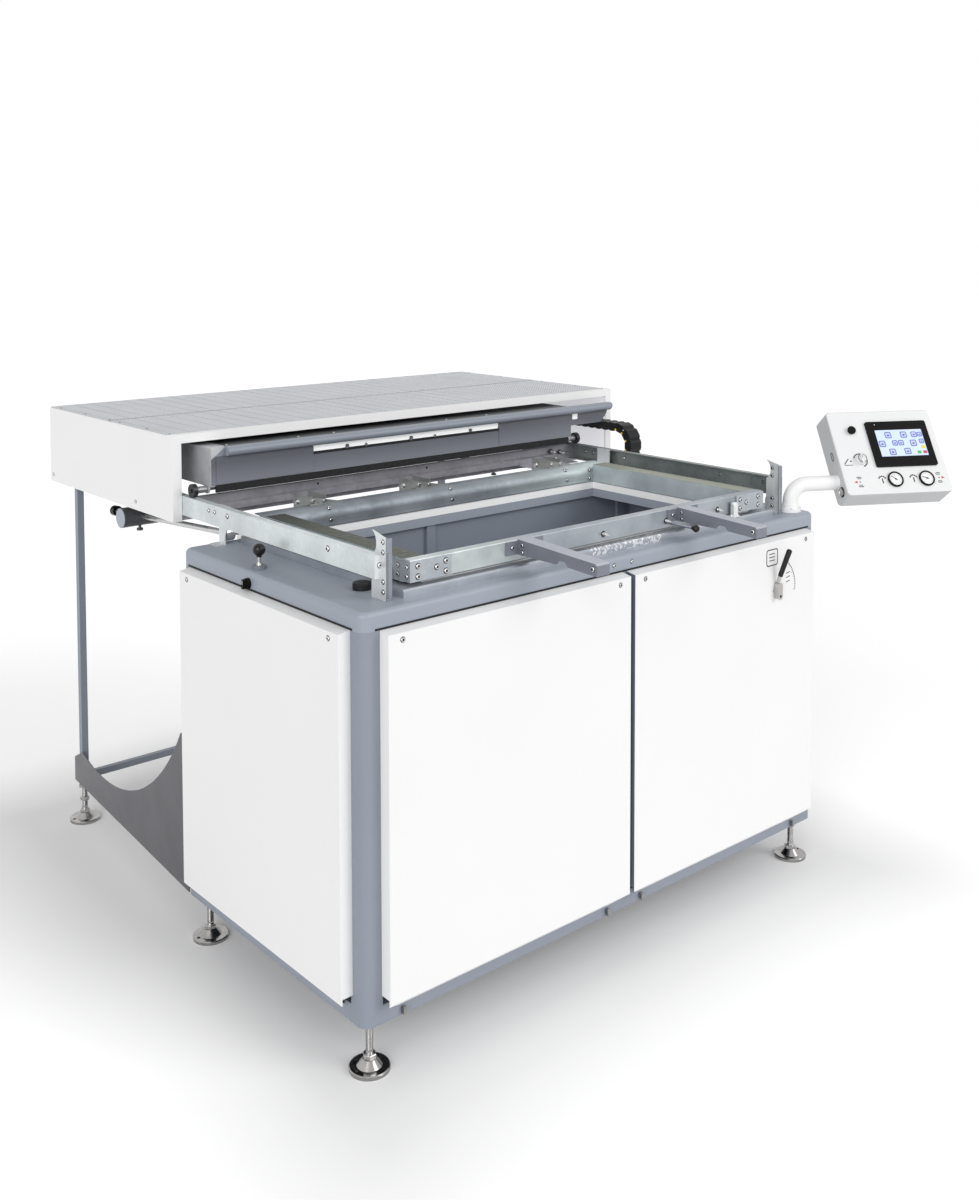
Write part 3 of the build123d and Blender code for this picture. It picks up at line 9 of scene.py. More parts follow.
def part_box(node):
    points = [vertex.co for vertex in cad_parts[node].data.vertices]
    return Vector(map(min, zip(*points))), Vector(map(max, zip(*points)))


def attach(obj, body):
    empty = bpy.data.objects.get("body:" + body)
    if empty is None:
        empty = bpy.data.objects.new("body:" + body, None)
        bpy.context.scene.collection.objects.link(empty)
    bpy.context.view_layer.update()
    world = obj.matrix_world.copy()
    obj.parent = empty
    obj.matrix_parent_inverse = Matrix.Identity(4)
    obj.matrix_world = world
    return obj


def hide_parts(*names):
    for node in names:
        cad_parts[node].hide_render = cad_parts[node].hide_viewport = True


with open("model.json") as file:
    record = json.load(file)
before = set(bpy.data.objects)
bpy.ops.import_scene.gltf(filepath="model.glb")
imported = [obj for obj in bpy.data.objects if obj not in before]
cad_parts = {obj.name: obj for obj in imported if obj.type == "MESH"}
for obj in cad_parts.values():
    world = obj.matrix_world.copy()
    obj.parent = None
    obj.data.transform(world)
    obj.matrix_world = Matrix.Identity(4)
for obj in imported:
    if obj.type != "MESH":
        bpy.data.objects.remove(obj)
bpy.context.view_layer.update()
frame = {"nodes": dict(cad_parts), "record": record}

nodes = frame["nodes"]
joints = {joint["name"]: joint for joint in frame["record"]["behaviour"]["joints"]}
mm = 0.001

# Camera: it stands to the left of the machine's front, at about eye height, and looks down a little.
# The lens is shifted down, as the picture's upper third is empty.
focal_px, long_side_px = 1297.8, 1200
camera_data = bpy.data.cameras.new("camera")
camera_data.sensor_width = 36
camera_data.lens = camera_data.sensor_width * focal_px / long_side_px
camera_data.shift_y = -0.24
camera_data.clip_end = 100
camera = bpy.data.objects.new("camera", camera_data)
camera.location = (-2.2876, -2.5551, 1.7635)
azimuth, tip, roll = 40.598, 3.086, 0.106
camera.rotation_euler = (radians(90 - tip), radians(roll), radians(-azimuth))
bpy.context.scene.collection.objects.link(camera)
bpy.context.scene.camera = camera


# Studio: a pale floor that runs out into a white background, and soft light from the front and the left.
# The floor keeps the machine's shadow, and a painted shadow darkens it round the feet. White is what the
# camera and the bright metal see beyond it.
class Value:
    """An output of a node. Arithmetic on it adds Math nodes."""

    def __init__(self, nodes, socket):
        self.nodes, self.socket = nodes, socket

    def math(self, operation, *values):
        return self.nodes.node("ShaderNodeMath", {"operation": operation}, dict(enumerate(values)))

    def __add__(self, other):
        return self.math("ADD", self, other)

    def __sub__(self, other):
        return self.math("SUBTRACT", self, other)

    def __rsub__(self, other):
        return self.math("SUBTRACT", other, self)

    def __mul__(self, other):
        return self.math("MULTIPLY", self, other)

    def __truediv__(self, other):
        return self.math("DIVIDE", self, other)

    def __gt__(self, edge):
        return self.math("GREATER_THAN", self, edge)

    def __lt__(self, edge):
        return self.math("LESS_THAN", self, edge)

    def __or__(self, other):
        return self.math("MAXIMUM", self, other)

    def __abs__(self):
        return self.math("ABSOLUTE", self)

    def root(self):
        return self.math("SQRT", self)

    def part(self):
        """What is left of this value past its whole number."""
        return self.math("FRACT", self)

    def wave(self):
        return self.math("SINE", self)

    def span(self, low, high, start=0.0, end=1.0):
        """This value's range from low to high, spread from start to end and held there beyond it."""
        return self.nodes.node("ShaderNodeMapRange", {}, {0: self, 1: low, 2: high, 3: start, 4: end})

    __radd__ = __add__
    __rmul__ = __mul__


class Nodes:
    """A node tree that is filled by one call for each node."""

    def __init__(self, tree):
        self.tree = tree

    def node(self, kind, settings=None, socket_shade=None, out=0):
        made = self.tree.nodes.new(kind)
        for name, value in (settings or {}).items():
            setattr(made, name, value)
        for name, value in (socket_shade or {}).items():
            self.feed(made.inputs[name], value)
        return Value(self, made.outputs[out])

    def feed(self, socket, value):
        if isinstance(value, Value):
            self.tree.links.new(value.socket, socket)
        elif isinstance(value, tuple) and len(value) == 3 and socket.type == "RGBA":
            socket.default_value = (*value, 1)
        else:
            socket.default_value = value

    def seen(self):
        """1 for what the camera sees, also in metal and through glass, and 0 for light on the object."""
        camera_ray, glossy_ray, glass_ray = [self.node("ShaderNodeLightPath", out=f"Is {kind} Ray")
                                             for kind in ("Camera", "Glossy", "Transmission")]
        return camera_ray | glossy_ray | glass_ray


class Finish(Nodes):
    """A surface finish: a material whose shader takes plain settings and values worked out by nodes.

    tones holds the clouds to the metre and two colours, and gloss the clouds to the metre and the lowest
    and highest roughness.
    """

    def __init__(self, name, tones=None, gloss=None, **settings):
        self.material = bpy.data.materials.new(name)
        self.material.use_nodes = True
        super().__init__(self.material.node_tree)
        self.shader = self.tree.nodes["Principled BSDF"]
        self.place = self.node("ShaderNodeTexCoord", out="Object")
        self.x, self.y, self.z = [self.node("ShaderNodeSeparateXYZ", {}, {0: self.place}, axis)
                                  for axis in range(3)]
        if tones:
            settings["base_color"] = self.cloudy(*tones)
        if gloss:
            scale, smooth, rough = gloss
            settings["roughness"] = self.noise(scale).span(0.3, 0.7, smooth, rough)
        self.set(**settings)

    def set(self, **settings):
        for name, value in settings.items():
            self.feed(self.shader.inputs[name.replace("_", " ").title().replace("Ior", "IOR")], value)
        return self

    def noise(self, scale, detail=2.0, stretch=(1, 1, 1)):
        """Cloudy variation from 0 to 1, with `scale` lumps to the metre."""
        place = self.node("ShaderNodeMapping", {}, {"Vector": self.place, "Scale": stretch})
        return self.node("ShaderNodeTexNoise", {}, {"Vector": place, "Scale": scale, "Detail": detail})

    def cells(self, scale):
        """A random value for each cell of a crystal pattern, with `scale` cells to the metre."""
        colour = self.node("ShaderNodeTexVoronoi", {}, {"Vector": self.place, "Scale": scale}, "Color")
        return self.node("ShaderNodeSeparateColor", {}, {0: colour})

    def mix(self, share, a, b):
        """Colour a where share is 0, and b where it is 1."""
        return self.node("ShaderNodeMix", {"data_type": "RGBA"}, {0: share, 6: a, 7: b}, out=2)

    def cloudy(self, scale, dark, light):
        """A colour that drifts softly between two tones."""
        return self.mix(self.noise(scale), dark, light)

    def blotchy(self, scale, dark, light, detail=4.0):
        """A colour that drifts between two tones with more contrast and more detail."""
        return self.mix(self.noise(scale, detail).span(0.3, 0.7), dark, light)

    def patch(self, share, colour):
        """Lays a colour over the base colour where share is 1."""
        under = Value(self, self.shader.inputs["Base Color"].links[0].from_socket)
        return self.set(base_color=self.mix(share, under, colour))

    def bump(self, height, strength, distance):
        return self.set(normal=self.node("ShaderNodeBump", {}, {"Height": height, "Strength": strength,
                                                                "Distance": distance}))

    def on(self, *names):
        """Puts this finish on CAD nodes by name."""
        for name in names:
            nodes[name].data.materials.clear()
            nodes[name].data.materials.append(self.material)
        return self


world = bpy.data.worlds.new("studio")
bpy.context.scene.world = world
world.use_nodes = True
sky = Nodes(world.node_tree)
ambient = 0.5
background = world.node_tree.nodes["Background"]
sky.feed(background.inputs["Strength"], sky.seen().span(0, 1, ambient, 1))
sky.feed(background.inputs["Color"], (1, 1, 1))

for name, lamp_azimuth, elevation, strength, spread in (("front_lamp", -28, 27, 1.15, 35),
                                                        ("left_lamp", 60, 20, 1.42, 45)):
    lamp_data = bpy.data.lights.new(name, "SUN")
    lamp_data.energy, lamp_data.angle = strength, radians(spread)
    lamp = bpy.data.objects.new(name, lamp_data)
    turn, rise = radians(lamp_azimuth), radians(elevation)
    lamp_side = Vector((-sin(turn) * cos(rise), -cos(turn) * cos(rise), sin(rise)))
    lamp.rotation_euler = lamp_side.to_track_quat("Z", "Y").to_euler()
    bpy.context.scene.collection.objects.link(lamp)

bpy.context.scene.view_settings.view_transform = "Standard"

floor_half = 30
floor_mesh = bpy.data.meshes.new("floor")
floor_mesh.from_pydata([(x * floor_half, y * floor_half, 0) for x, y in ((-1, -1), (1, -1), (1, 1), (-1, 1))],
                       [], [(0, 1, 2, 3)])
floor = bpy.data.objects.new("floor", floor_mesh)
bpy.context.scene.collection.objects.link(floor)
floor_paint = Finish("floor_paint", (0.6, (0.895, 0.895, 0.9), (0.905, 0.905, 0.905)), roughness=1.0,
                     specular_ior_level=0.0, emission_strength=0.3)
# Near the feet the floor's glow fades out, a painted shadow round the machine. Beyond a rounded oblong
# around the feet the floor turns as white as the background; that white is only seen, and sheds no light on
# the machine.
feet_half_x, feet_middle_y, feet_half_y = 0.85, 0.4, 0.95
fade_start, fade_end = -0.1, 0.38
beside = (abs(floor_paint.x) - feet_half_x) | 0
behind = (abs(floor_paint.y - feet_middle_y) - feet_half_y) | 0
past_painted_shadow = (beside * beside + behind * behind).root().span(fade_start, fade_end)
floor_paint.set(emission_color=floor_paint.mix(past_painted_shadow * floor_paint.seen(), (0, 0, 0), (1, 1, 1)))
floor_mesh.materials.append(floor_paint.material)


# Cabinet frame, deck, well and rear stand: welded tube and folded sheet under one blue-grey powder coat.
# The coat has a fine orange-peel skin and is a little glossier where hands polish it.
def powder_coat(name, tones=None, gloss=(0.36, 0.46), clouds=3):
    """A powder coat, from its two tones and its lowest and highest roughness."""
    coat = Finish(name, (clouds, *tones) if tones else None, (9, *gloss))
    return coat.bump(coat.noise(900, 1), 0.22, 0.0003)


# The frame and the well wear darker copies of the deck's coat, as painted shade.
powder_coat("deck_powder_coat", ((0.3, 0.33, 0.385), (0.325, 0.36, 0.415))).on("top_shell")
powder_coat("frame_coat_painted_shade", ((0.235, 0.26, 0.31), (0.26, 0.29, 0.34))).on("cabinet_frame", "rear_stand")
powder_coat("well_coat_painted_shade", ((0.215, 0.24, 0.29), (0.24, 0.265, 0.315))).on("well_liner")


# Levelling feet: turned steel discs on threaded stems, locked by nuts under the frame.
# Their polished nickel plate is painted darker than the zinc, a painted reflection of the dark machine above.
def turned(mesh, place, profile, sides=20, finish=0):
    """A solid of revolution on the place's Z axis, from (radius, height) pairs in millimetres."""
    rings = []
    for radius, height in profile:
        angles = [0] if radius == 0 else [2 * pi * i / sides for i in range(sides)]
        rings.append([mesh.verts.new(place @ (Vector((radius * cos(a), radius * sin(a), height)) * mm))
                      for a in angles])
    for low, high in zip(rings, rings[1:]):
        for i in range(sides):
            j = (i + 1) % sides
            corners = (low[i % len(low)], low[j % len(low)], high[j % len(high)], high[i % len(high)])
            mesh.faces.new(list(dict.fromkeys(corners))).material_index = finish


def seat(at, toward, up=(0, 0, 1)):
    """A place at a point in millimetres. Its Z looks along toward, and its Y is nearest to up."""
    z = Vector(toward).normalized()
    x = Vector(up).cross(z)
    x = x.normalized() if x.length > 0.01 else Vector((1, 0, 0))
    return Matrix.Translation(Vector(at) * mm) @ Matrix((x, z.cross(x), z)).transposed().to_4x4()


def box_of(name):
    """The lowest and highest corner of a CAD node, in millimetres."""
    return [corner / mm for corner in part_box(name)]


def piece(name, body, finish, mesh, replaced=(), second=None):
    """Turns a finished mesh into a piece of the machine that rides on a body."""
    bmesh.ops.recalc_face_normals(mesh, faces=mesh.faces)
    data = bpy.data.meshes.new(name)
    mesh.to_mesh(data)
    mesh.free()
    for used in (finish, second) if second else (finish,):
        data.materials.append(used.material)
    data.polygons.foreach_set("use_smooth", [True] * len(data.polygons))
    data.set_sharp_from_angle(angle=radians(35))
    made = bpy.data.objects.new(name, data)
    bpy.context.scene.collection.objects.link(made)
    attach(made, body)
    if replaced:
        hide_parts(*replaced)


up = (0, 0, 1)
plated = Finish("bright_plate", (60, (0.42, 0.41, 0.40), (0.56, 0.55, 0.54)), (120, 0.14, 0.28), metallic=1.0)
# Its colour is darkened as a painted reflection of the dark machine above.
plate_dark_reflection = Finish("plate_dark_reflection", (30, (0.22, 0.215, 0.21), (0.5, 0.49, 0.48)), (90, 0.12, 0.26),
                    metallic=1.0)
lathe_marks = 5200
plate_dark_reflection.bump((plate_dark_reflection.z * lathe_marks).wave().span(-1, 1), 0.15, 0.0002)
plate_dark_reflection.on("foot_discs")
thread = Finish("stem_thread", gloss=(80, 0.2, 0.34), metallic=1.0)
thread_pitch = 0.002
ridges = (thread.z * (2 * pi / thread_pitch)).wave()
# The colour is darkened in the thread's roots, as painted shade in the grooves.
thread.set(base_color=thread.mix(ridges.span(-1, 1), (0.16, 0.155, 0.15), (0.55, 0.54, 0.53)))
thread.bump(ridges, 0.5, 0.0006)
thread.on("foot_stems")
disc_low, disc_high = box_of("foot_discs")
disc_r, rear_feet_x = 45, 699
frame_feet_x = disc_high.x - disc_r
front_feet_y, rear_feet_y = disc_low.y + disc_r, disc_high.y - disc_r
lock_nut_z, washer_z, frame_nut_z = 24, 34, 62
nuts = bmesh.new()
for x, y in [(side * frame_feet_x, y) for side in (-1, 1) for y in (front_feet_y, -front_feet_y)] + \
            [(side * rear_feet_x, rear_feet_y) for side in (-1, 1)]:
    turned(nuts, seat((x, y, lock_nut_z), up),
           [(0, 0), (14.5, 0), (15.5, 1), (15.5, 9), (14.5, 10), (0, 10)], 6)
    turned(nuts, seat((x, y, washer_z), up), [(0, 0), (12, 0), (12, 2.4), (8.4, 2.4), (8.4, 9), (0, 9)], 24)
    if y == rear_feet_y:
        turned(nuts, seat((x, y, frame_nut_z), up),
               [(0, 0), (13.5, 0), (15, 1.5), (15, 9.5), (13.5, 11), (0, 11)], 6)
piece("foot_nuts", "root", plated, nuts)


# Cabinet panels: trays of folded sheet under a white powder coat, hung on hooks below and held by a
# quarter-turn screw in each upper corner. Their edges in the middle gap are painted dark, as painted shade
# from the frame behind.
def plate(mesh, place, outline, thickness):
    """A flat plate: an outline in the place's XY plane, raised along its Z, in millimetres."""
    low, high = [[mesh.verts.new(place @ (Vector((x, y, z)) * mm)) for x, y in outline]
                 for z in (0, thickness)]
    mesh.faces.new(low[::-1])
    mesh.faces.new(high)
    for i in range(len(outline)):
        j = (i + 1) % len(outline)
        mesh.faces.new((low[i], low[j], high[j], high[i]))


def oblong(width, height, radius=0.0, x=0.0, y=0.0, steps=4):
    """A rectangle's outline with rounded corners, about the point x, y."""
    if radius == 0:
        return [(x + sx * width / 2, y + sy * height / 2) for sx, sy in ((-1, -1), (1, -1), (1, 1), (-1, 1))]
    return [(x + sx * (width / 2 - radius) + radius * cos(start + pi / 2 * i / steps),
             y + sy * (height / 2 - radius) + radius * sin(start + pi / 2 * i / steps))
            for sx, sy, start in ((1, 1, 0), (-1, 1, pi / 2), (-1, -1, pi), (1, -1, 1.5 * pi))
            for i in range(steps + 1)]


def disc(mesh, place, radius, height, sides=16, finish=0):
    turned(mesh, place, [(0, height), (radius, height), (radius, 0), (0, 0)], sides, finish)


def ring(mesh, place, inner, outer, height, sides=24, finish=0):
    turned(mesh, place, [(inner, height), (outer, height), (outer, 0), (inner, 0), (inner, height)], sides,
           finish)


def socket_screw(mesh, place, radius=4.5, height=2.4):
    """A pan head with a hexagon socket, whose floor and a thin ring round the head take the second finish as
    painted shade.
    """
    socket = radius * 0.5
    turned(mesh, place, [(socket, 0.3), (socket, height), (radius * 0.8, height), (radius, height * 0.55),
                         (radius, 0.2), (socket, 0.3)], 24)
    disc(mesh, place, socket, height * 0.4, 6, 1)
    ring(mesh, place, socket, radius * 1.22, 0.25, 24, 1)


left, right, front, rear = (-1, 0, 0), (1, 0, 0), (0, -1, 0), (0, 1, 0)
white, satin = ((0.83, 0.83, 0.828), (0.865, 0.865, 0.862)), (0.38, 0.48)
white_coat = powder_coat("white_powder_coat", white, satin)
white_coat.on("left_side_panel", "right_side_panel", "rear_panel")
front_coat_gap_shade = powder_coat("front_panel_coat_gap_shade", white, satin)
middle_gap_half = 0.0078
# The edges beside the middle gap are painted dark: painted shade.
front_coat_gap_shade.patch(abs(front_coat_gap_shade.x) < middle_gap_half, (0.16, 0.175, 0.21))
front_coat_gap_shade.on("left_front_panel", "right_front_panel")
screw_steel = Finish("screw_steel", (300, (0.5, 0.5, 0.5), (0.7, 0.7, 0.7)), (500, 0.16, 0.3), metallic=1.0)
# This near-black finish serves dark steel parts and also painted shade in sockets, holes, grooves and under
# heads.
dark_steel_and_shade = Finish("blackened_steel_and_shade", (200, (0.012, 0.012, 0.013), (0.03, 0.03, 0.032)), (300, 0.35, 0.5),
                    metallic=0.6)
screw_in, screw_down = 37, 20
hook_in, hook_back, hook_down = 53, 30, 20
heads, socket_shade, hooks = bmesh.new(), bmesh.new(), bmesh.new()
for panel, axis, toward in (("left_front_panel", "x", front), ("right_front_panel", "x", front),
                            ("left_side_panel", "y", left), ("right_side_panel", "y", right),
                            ("rear_panel", "x", rear)):
    low, high = box_of(panel)
    for end, side in ((getattr(low, axis), 1), (getattr(high, axis), -1)):
        along = end + side * screw_in
        face = {front: low.y, rear: high.y, left: low.x, right: high.x}[toward]
        x, y = (along, face) if axis == "x" else (face, along)
        place = seat((x, y, high.z - screw_down), toward)
        turned(heads, place, [(2.6, 0.4), (2.6, 2), (4.2, 2), (5, 1.2), (5, 0), (2.6, 0), (2.6, 0.4)], 28)
        # A dark disc in each socket and a dark ring round each head are painted shade.
        disc(socket_shade, place, 2.6, 1.0, 6)
        ring(socket_shade, place, 5, 6.4, 0.3, 28)
        if toward == front:
            plate(hooks, seat((end + side * hook_in, low.y + hook_back, low.z - hook_down), up, rear),
                  oblong(8, 9, 0, 0, -6), 16)
piece("panel_screws", "root", screw_steel, heads, ["panel_fixings"])
piece("panel_screw_socket_shade", "root", dark_steel_and_shade, socket_shade)
piece("panel_hooks", "root", plate_dark_reflection, hooks)

# Deck trim: a black strip fills the gap between the deck's apron and the panels, painted shade for the
# gap's shadow, and two plated bolts hold the apron at the middle.
black_strip_finish = Finish("black_strip", (80, (0.015, 0.015, 0.017), (0.03, 0.03, 0.033)), (60, 0.5, 0.7),
                     specular_ior_level=0.15)
deck_low, deck_high = box_of("top_shell")
shade_w, shade_h, shade_end, shade_up = 3, 4, 34, 0.5
bolts_up = 20
gap_shade, apron_bolts = bmesh.new(), bmesh.new()
# The black strip is painted shade in the gap under the apron.
plate(gap_shade, seat((0, deck_low.y, deck_low.z + shade_up), up, rear),
      oblong(2 * (deck_high.x - shade_end), shade_w), shade_h)
plate(gap_shade, seat((deck_low.x, 0, deck_low.z + shade_up), up, rear),
      oblong(shade_w, 2 * (deck_high.y - shade_end)), shade_h)
piece("deck_gap_shade", "root", black_strip_finish, gap_shade)
for x in (-35, 28):
    socket_screw(apron_bolts, seat((x, deck_low.y, deck_low.z + bolts_up), front), 5, 2.6)
piece("apron_bolts", "root", screw_steel, apron_bolts, second=dark_steel_and_shade)

# Gusset plates: laser-cut sheet with a large concave edge, between the cabinet and the rear stand.
# Their coat is warmer than the frame's and painted darker, as painted shade, and a little lighter towards the
# rear.
gusset_shaded_coat = powder_coat("gusset_coat_painted_shade")
toward_rear = gusset_shaded_coat.y.span(0.39, 1.25)
# The dark tones are painted shade.
gusset_shaded_coat.set(base_color=gusset_shaded_coat.mix(toward_rear * 0.8 + gusset_shaded_coat.noise(4) * 0.2,
                                           (0.08, 0.078, 0.088), (0.13, 0.127, 0.14)))
gusset_shaded_coat.on("gusset_plates")


# Rails: channels folded from galvanised sheet. The zinc is soft and cloudy, with faint crystals.
# Socket screws hold them to their posts and to the cross channel.
def galvanised(name, tones, gloss, metallic=0.75):
    """Zinc-coated sheet. Where tones is None, its colour is set apart."""
    zinc = Finish(name, metallic=metallic)
    cloud, crystal, grain = zinc.noise(7, 4), zinc.cells(95), zinc.noise(240)
    if tones:
        zinc.set(base_color=zinc.mix(cloud.span(0.3, 0.7) * 0.62 + crystal * 0.2 + grain * 0.18, *tones))
    zinc.set(roughness=(cloud * 0.5 + crystal * 0.5).span(0.2, 0.8, *gloss))
    return zinc.bump(crystal * 0.5 + grain, 0.08, 0.0003)


def bar(x0, y0, x1, y1, width):
    """The outline of a straight stroke between two points."""
    along = Vector((x1 - x0, y1 - y0)).normalized() * width / 2
    return [(x0 + along.y, y0 - along.x), (x1 + along.y, y1 - along.x), (x1 - along.y, y1 + along.x),
            (x0 - along.y, y0 + along.x)]


# The two rails are one zinc: the left one is painted lit and the right one painted in shade.
galvanised("rail_zinc_painted_lit", ((0.5, 0.54, 0.545), (0.78, 0.83, 0.84)), (0.36, 0.52), 0.55).on("left_rail")
galvanised("rail_zinc_painted_shade", ((0.17, 0.19, 0.185), (0.33, 0.36, 0.35)), (0.36, 0.52)).on("right_rail")
post_zinc = galvanised("post_zinc", None, (0.3, 0.46), 0.5)
ear_edge_y = -0.3436
post_zinc.set(base_color=post_zinc.cloudy(12, (0.6, 0.63, 0.64), (0.8, 0.82, 0.83)))
post_zinc.patch(post_zinc.y < ear_edge_y, (0.27, 0.29, 0.33))
post_zinc.on("rail_posts")
rail_z, rail_outer_x, rail_web_x = 1081, 704, 701
post_y, ear_x, post_x = -347, 681, 684
mark_x, mark_z, mark_step = 681.5, 1008, 5
rail_screws, post_groove_shade, rail_ends = bmesh.new(), bmesh.new(), bmesh.new()
for side, outer, inner in ((-1, left, right), (1, right, left)):
    for y, radius in ((392, 4.5), (362, 4.5), (298, 6), (-152, 6)):
        socket_screw(rail_screws, seat((side * rail_outer_x, y, rail_z + 2), outer), radius, 2.6)
    for y in (450, 415, 364, 276, -110, -268):
        socket_screw(rail_screws, seat((side * rail_web_x, y, rail_z - 4), inner))
    for z in (1018, 1040, 1104, 1126):
        socket_screw(rail_screws, seat((side * ear_x, post_y + 32, z), inner), 5, 2.6)
        socket_screw(rail_screws, seat((side * post_x, post_y + 14, z), outer), 5, 2.6)
    # Dark strokes on each post's front stand for its serrations, as painted shade in their grooves.
    for i in range(20):
        plate(post_groove_shade, seat((side * mark_x, post_y, mark_z + i * mark_step), front),
              bar(-2.2, -1, 2.2, 1.2, 0.9), 0.3)
    plate(rail_ends, seat((side * 692.5, -330, 1074.5), front), oblong(23, 51), 3)
    socket_screw(rail_ends, seat((side * 692, -333, 1078), front), 5.5, 2.6)
piece("rail_screws", "root", screw_steel, rail_screws, second=dark_steel_and_shade)
piece("post_serration_shade", "root", dark_steel_and_shade, post_groove_shade)
piece("rail_ends", "root", post_zinc, rail_ends, second=dark_steel_and_shade)


# Cross channel and bearers: folded sheet in a dull purplish zinc, with two small tapped holes.
# At the right a flat shelf of brighter sheet lies behind the clamp frame, held by wing screws.
def wing_screw(mesh, place):
    """A hub with two rounded wings, on a dark disc that is painted shade round its foot."""
    turned(mesh, place, [(0, 11), (3.2, 11), (5, 8), (5.6, 0), (0, 0)], 16)
    for side in (-1, 1):
        wing = [(side * (3 + 3.5 * i / 6), 5 + 5.5 * (1 - cos(pi * i / 6)) / 2) for i in range(7)]
        wing += [(side * (11 + 2.6 * cos(a)), 9.6 + 2.6 * sin(a)) for a in map(radians, range(90, -91, -45))]
        wing += [(side * 4, 1.5)]
        upright = place @ Matrix.Rotation(pi / 2, 4, "X") @ Matrix.Translation((0, 0, -1.1 * mm))
        plate(mesh, upright, wing, 2.2)
    disc(mesh, place, 8, 0.4, 16, 1)


galvanised("cross_member_zinc", ((0.22, 0.215, 0.24), (0.42, 0.415, 0.45)), (0.4, 0.55), 0.55).on(
    "rail_cross_members")
# Two dark discs stand for the tapped holes, as painted shade in them.
hole_shade = bmesh.new()
for x in (-299, 88):
    disc(hole_shade, seat((x, 509, 1086), front), 3.4, 0.5)
piece("tapped_hole_shade", "root", dark_steel_and_shade, hole_shade)
shelf_zinc = galvanised("shelf_zinc", ((0.4, 0.4, 0.46), (0.5, 0.5, 0.56)), (0.3, 0.42), 0.4)
shelf_y, shelf_z, shelf_w, shelf_d, shelf_t = 480, 1049, 190, 92, 3
shelf, shelf_screws = bmesh.new(), bmesh.new()
plate(shelf, seat((556, shelf_y, shelf_z), up, rear), oblong(shelf_w, shelf_d), shelf_t)
plate(shelf, seat((463, shelf_y, shelf_z + shelf_t), up, rear), oblong(4, shelf_d), 4)
piece("sheet_shelf", "root", shelf_zinc, shelf)
for x, y, z, toward, wings in ((575, 458, 1052, up, (0.6, 0.8, 0)), (604, 490, 1052, up, (0.6, 0.8, 0)),
                               (596, 504, 1082, front, (0.35, 0, 1)), (636, 504, 1076, front, (0.35, 0, 1))):
    wing_screw(shelf_screws, seat((x, y, z), toward, wings))
piece("shelf_wing_screws", "root", screw_steel, shelf_screws, second=dark_steel_and_shade)

# Sheet seat: a flat frame of galvanised sheet. Part of its front edge carries painted glints, white specks
# that stand for sparkle in the light.
# A white foam strip seals the sheet along the window, over a whiter backing.
seat_zinc = Finish("seat_zinc", gloss=(200, 0.3, 0.46), metallic=0.65)
edge_y, sparkle_x, sparkle_half = -0.325, 0.05, 0.13
# White specks here are painted glints.
painted_glint_patch = (seat_zinc.y < edge_y) * (abs(seat_zinc.x - sparkle_x) < sparkle_half)
seat_zinc.set(base_color=seat_zinc.blotchy(8, (0.36, 0.385, 0.43), (0.5, 0.53, 0.58)))
seat_zinc.patch((seat_zinc.cells(190) > 0.6) * painted_glint_patch * 0.75, (0.95, 0.95, 0.95))
seat_zinc.bump(seat_zinc.noise(500), 0.2, 0.0003)
seat_zinc.on("seat_frame")
foam = Finish("white_foam", (300, (0.8, 0.8, 0.81), (0.88, 0.88, 0.88)), (150, 0.75, 0.9))
backing_top = 1.0175
foam.patch(foam.z < backing_top, foam.cloudy(200, (0.9, 0.9, 0.9), (0.94, 0.94, 0.94)))
foam.bump(foam.noise(700), 0.3, 0.0005)
foam.on("seat_gasket")

# Clamp frame: bars folded from galvanised sheet, screwed together at the corners with plates.
# The bars are a cool blue grey, and wing screws along the front bar set its stops.
clamp_zinc = galvanised("clamp_zinc", None, (0.36, 0.5), 0.7)
bright_end = clamp_zinc.x.span(-0.25, -0.45) * clamp_zinc.noise(14).span(0.35, 0.6, 0.5, 1)
clamp_zinc.set(base_color=clamp_zinc.blotchy(8, (0.28, 0.31, 0.34), (0.44, 0.48, 0.51)))
clamp_zinc.patch(bright_end, (0.62, 0.67, 0.66))
clamp_zinc.on("clamp_front_bar")
rear_bar_zinc = galvanised("rear_bar_zinc", None, (0.46, 0.6), 0.6)
rear_bar_zinc.set(base_color=rear_bar_zinc.blotchy(8, (0.15, 0.17, 0.19), (0.28, 0.31, 0.335)))
rear_bar_zinc.patch(rear_bar_zinc.x.span(0.1, 0.55),
                    rear_bar_zinc.blotchy(8, (0.36, 0.41, 0.42), (0.55, 0.61, 0.62)))
rear_bar_zinc.on("clamp_rear_bar")
side_bar_zinc = galvanised("side_bar_zinc", None, (0.36, 0.5), 0.6)
side_bar_top = 1.0735
# The bar tops are painted olive, dark on the left and light on the right, as a painted reflection.
olive_painted_reflection = side_bar_zinc.mix(side_bar_zinc.x.span(-0.5, 0.5), (0.056, 0.064, 0.046), (0.3, 0.32, 0.26))
side_bar_zinc.set(base_color=side_bar_zinc.blotchy(9, (0.46, 0.52, 0.54), (0.7, 0.77, 0.79)))
side_bar_zinc.patch(side_bar_zinc.z > side_bar_top, olive_painted_reflection)
side_bar_zinc.on("clamp_side_bars")
galvanised("bracket_zinc", ((0.33, 0.36, 0.39), (0.52, 0.56, 0.6)), (0.32, 0.46), 0.7).on(
    "clamp_corner_plates")
bar_front, rear_bar_front = box_of("clamp_front_bar")[0].y, box_of("clamp_rear_bar")[0].y
rolled_y = rear_bar_front + 6
corner_low, corner_high = box_of("clamp_corner_plates")
corner_y, corner_x = corner_low.y, corner_high.x
clamp_screws, wing_screws = bmesh.new(), bmesh.new()
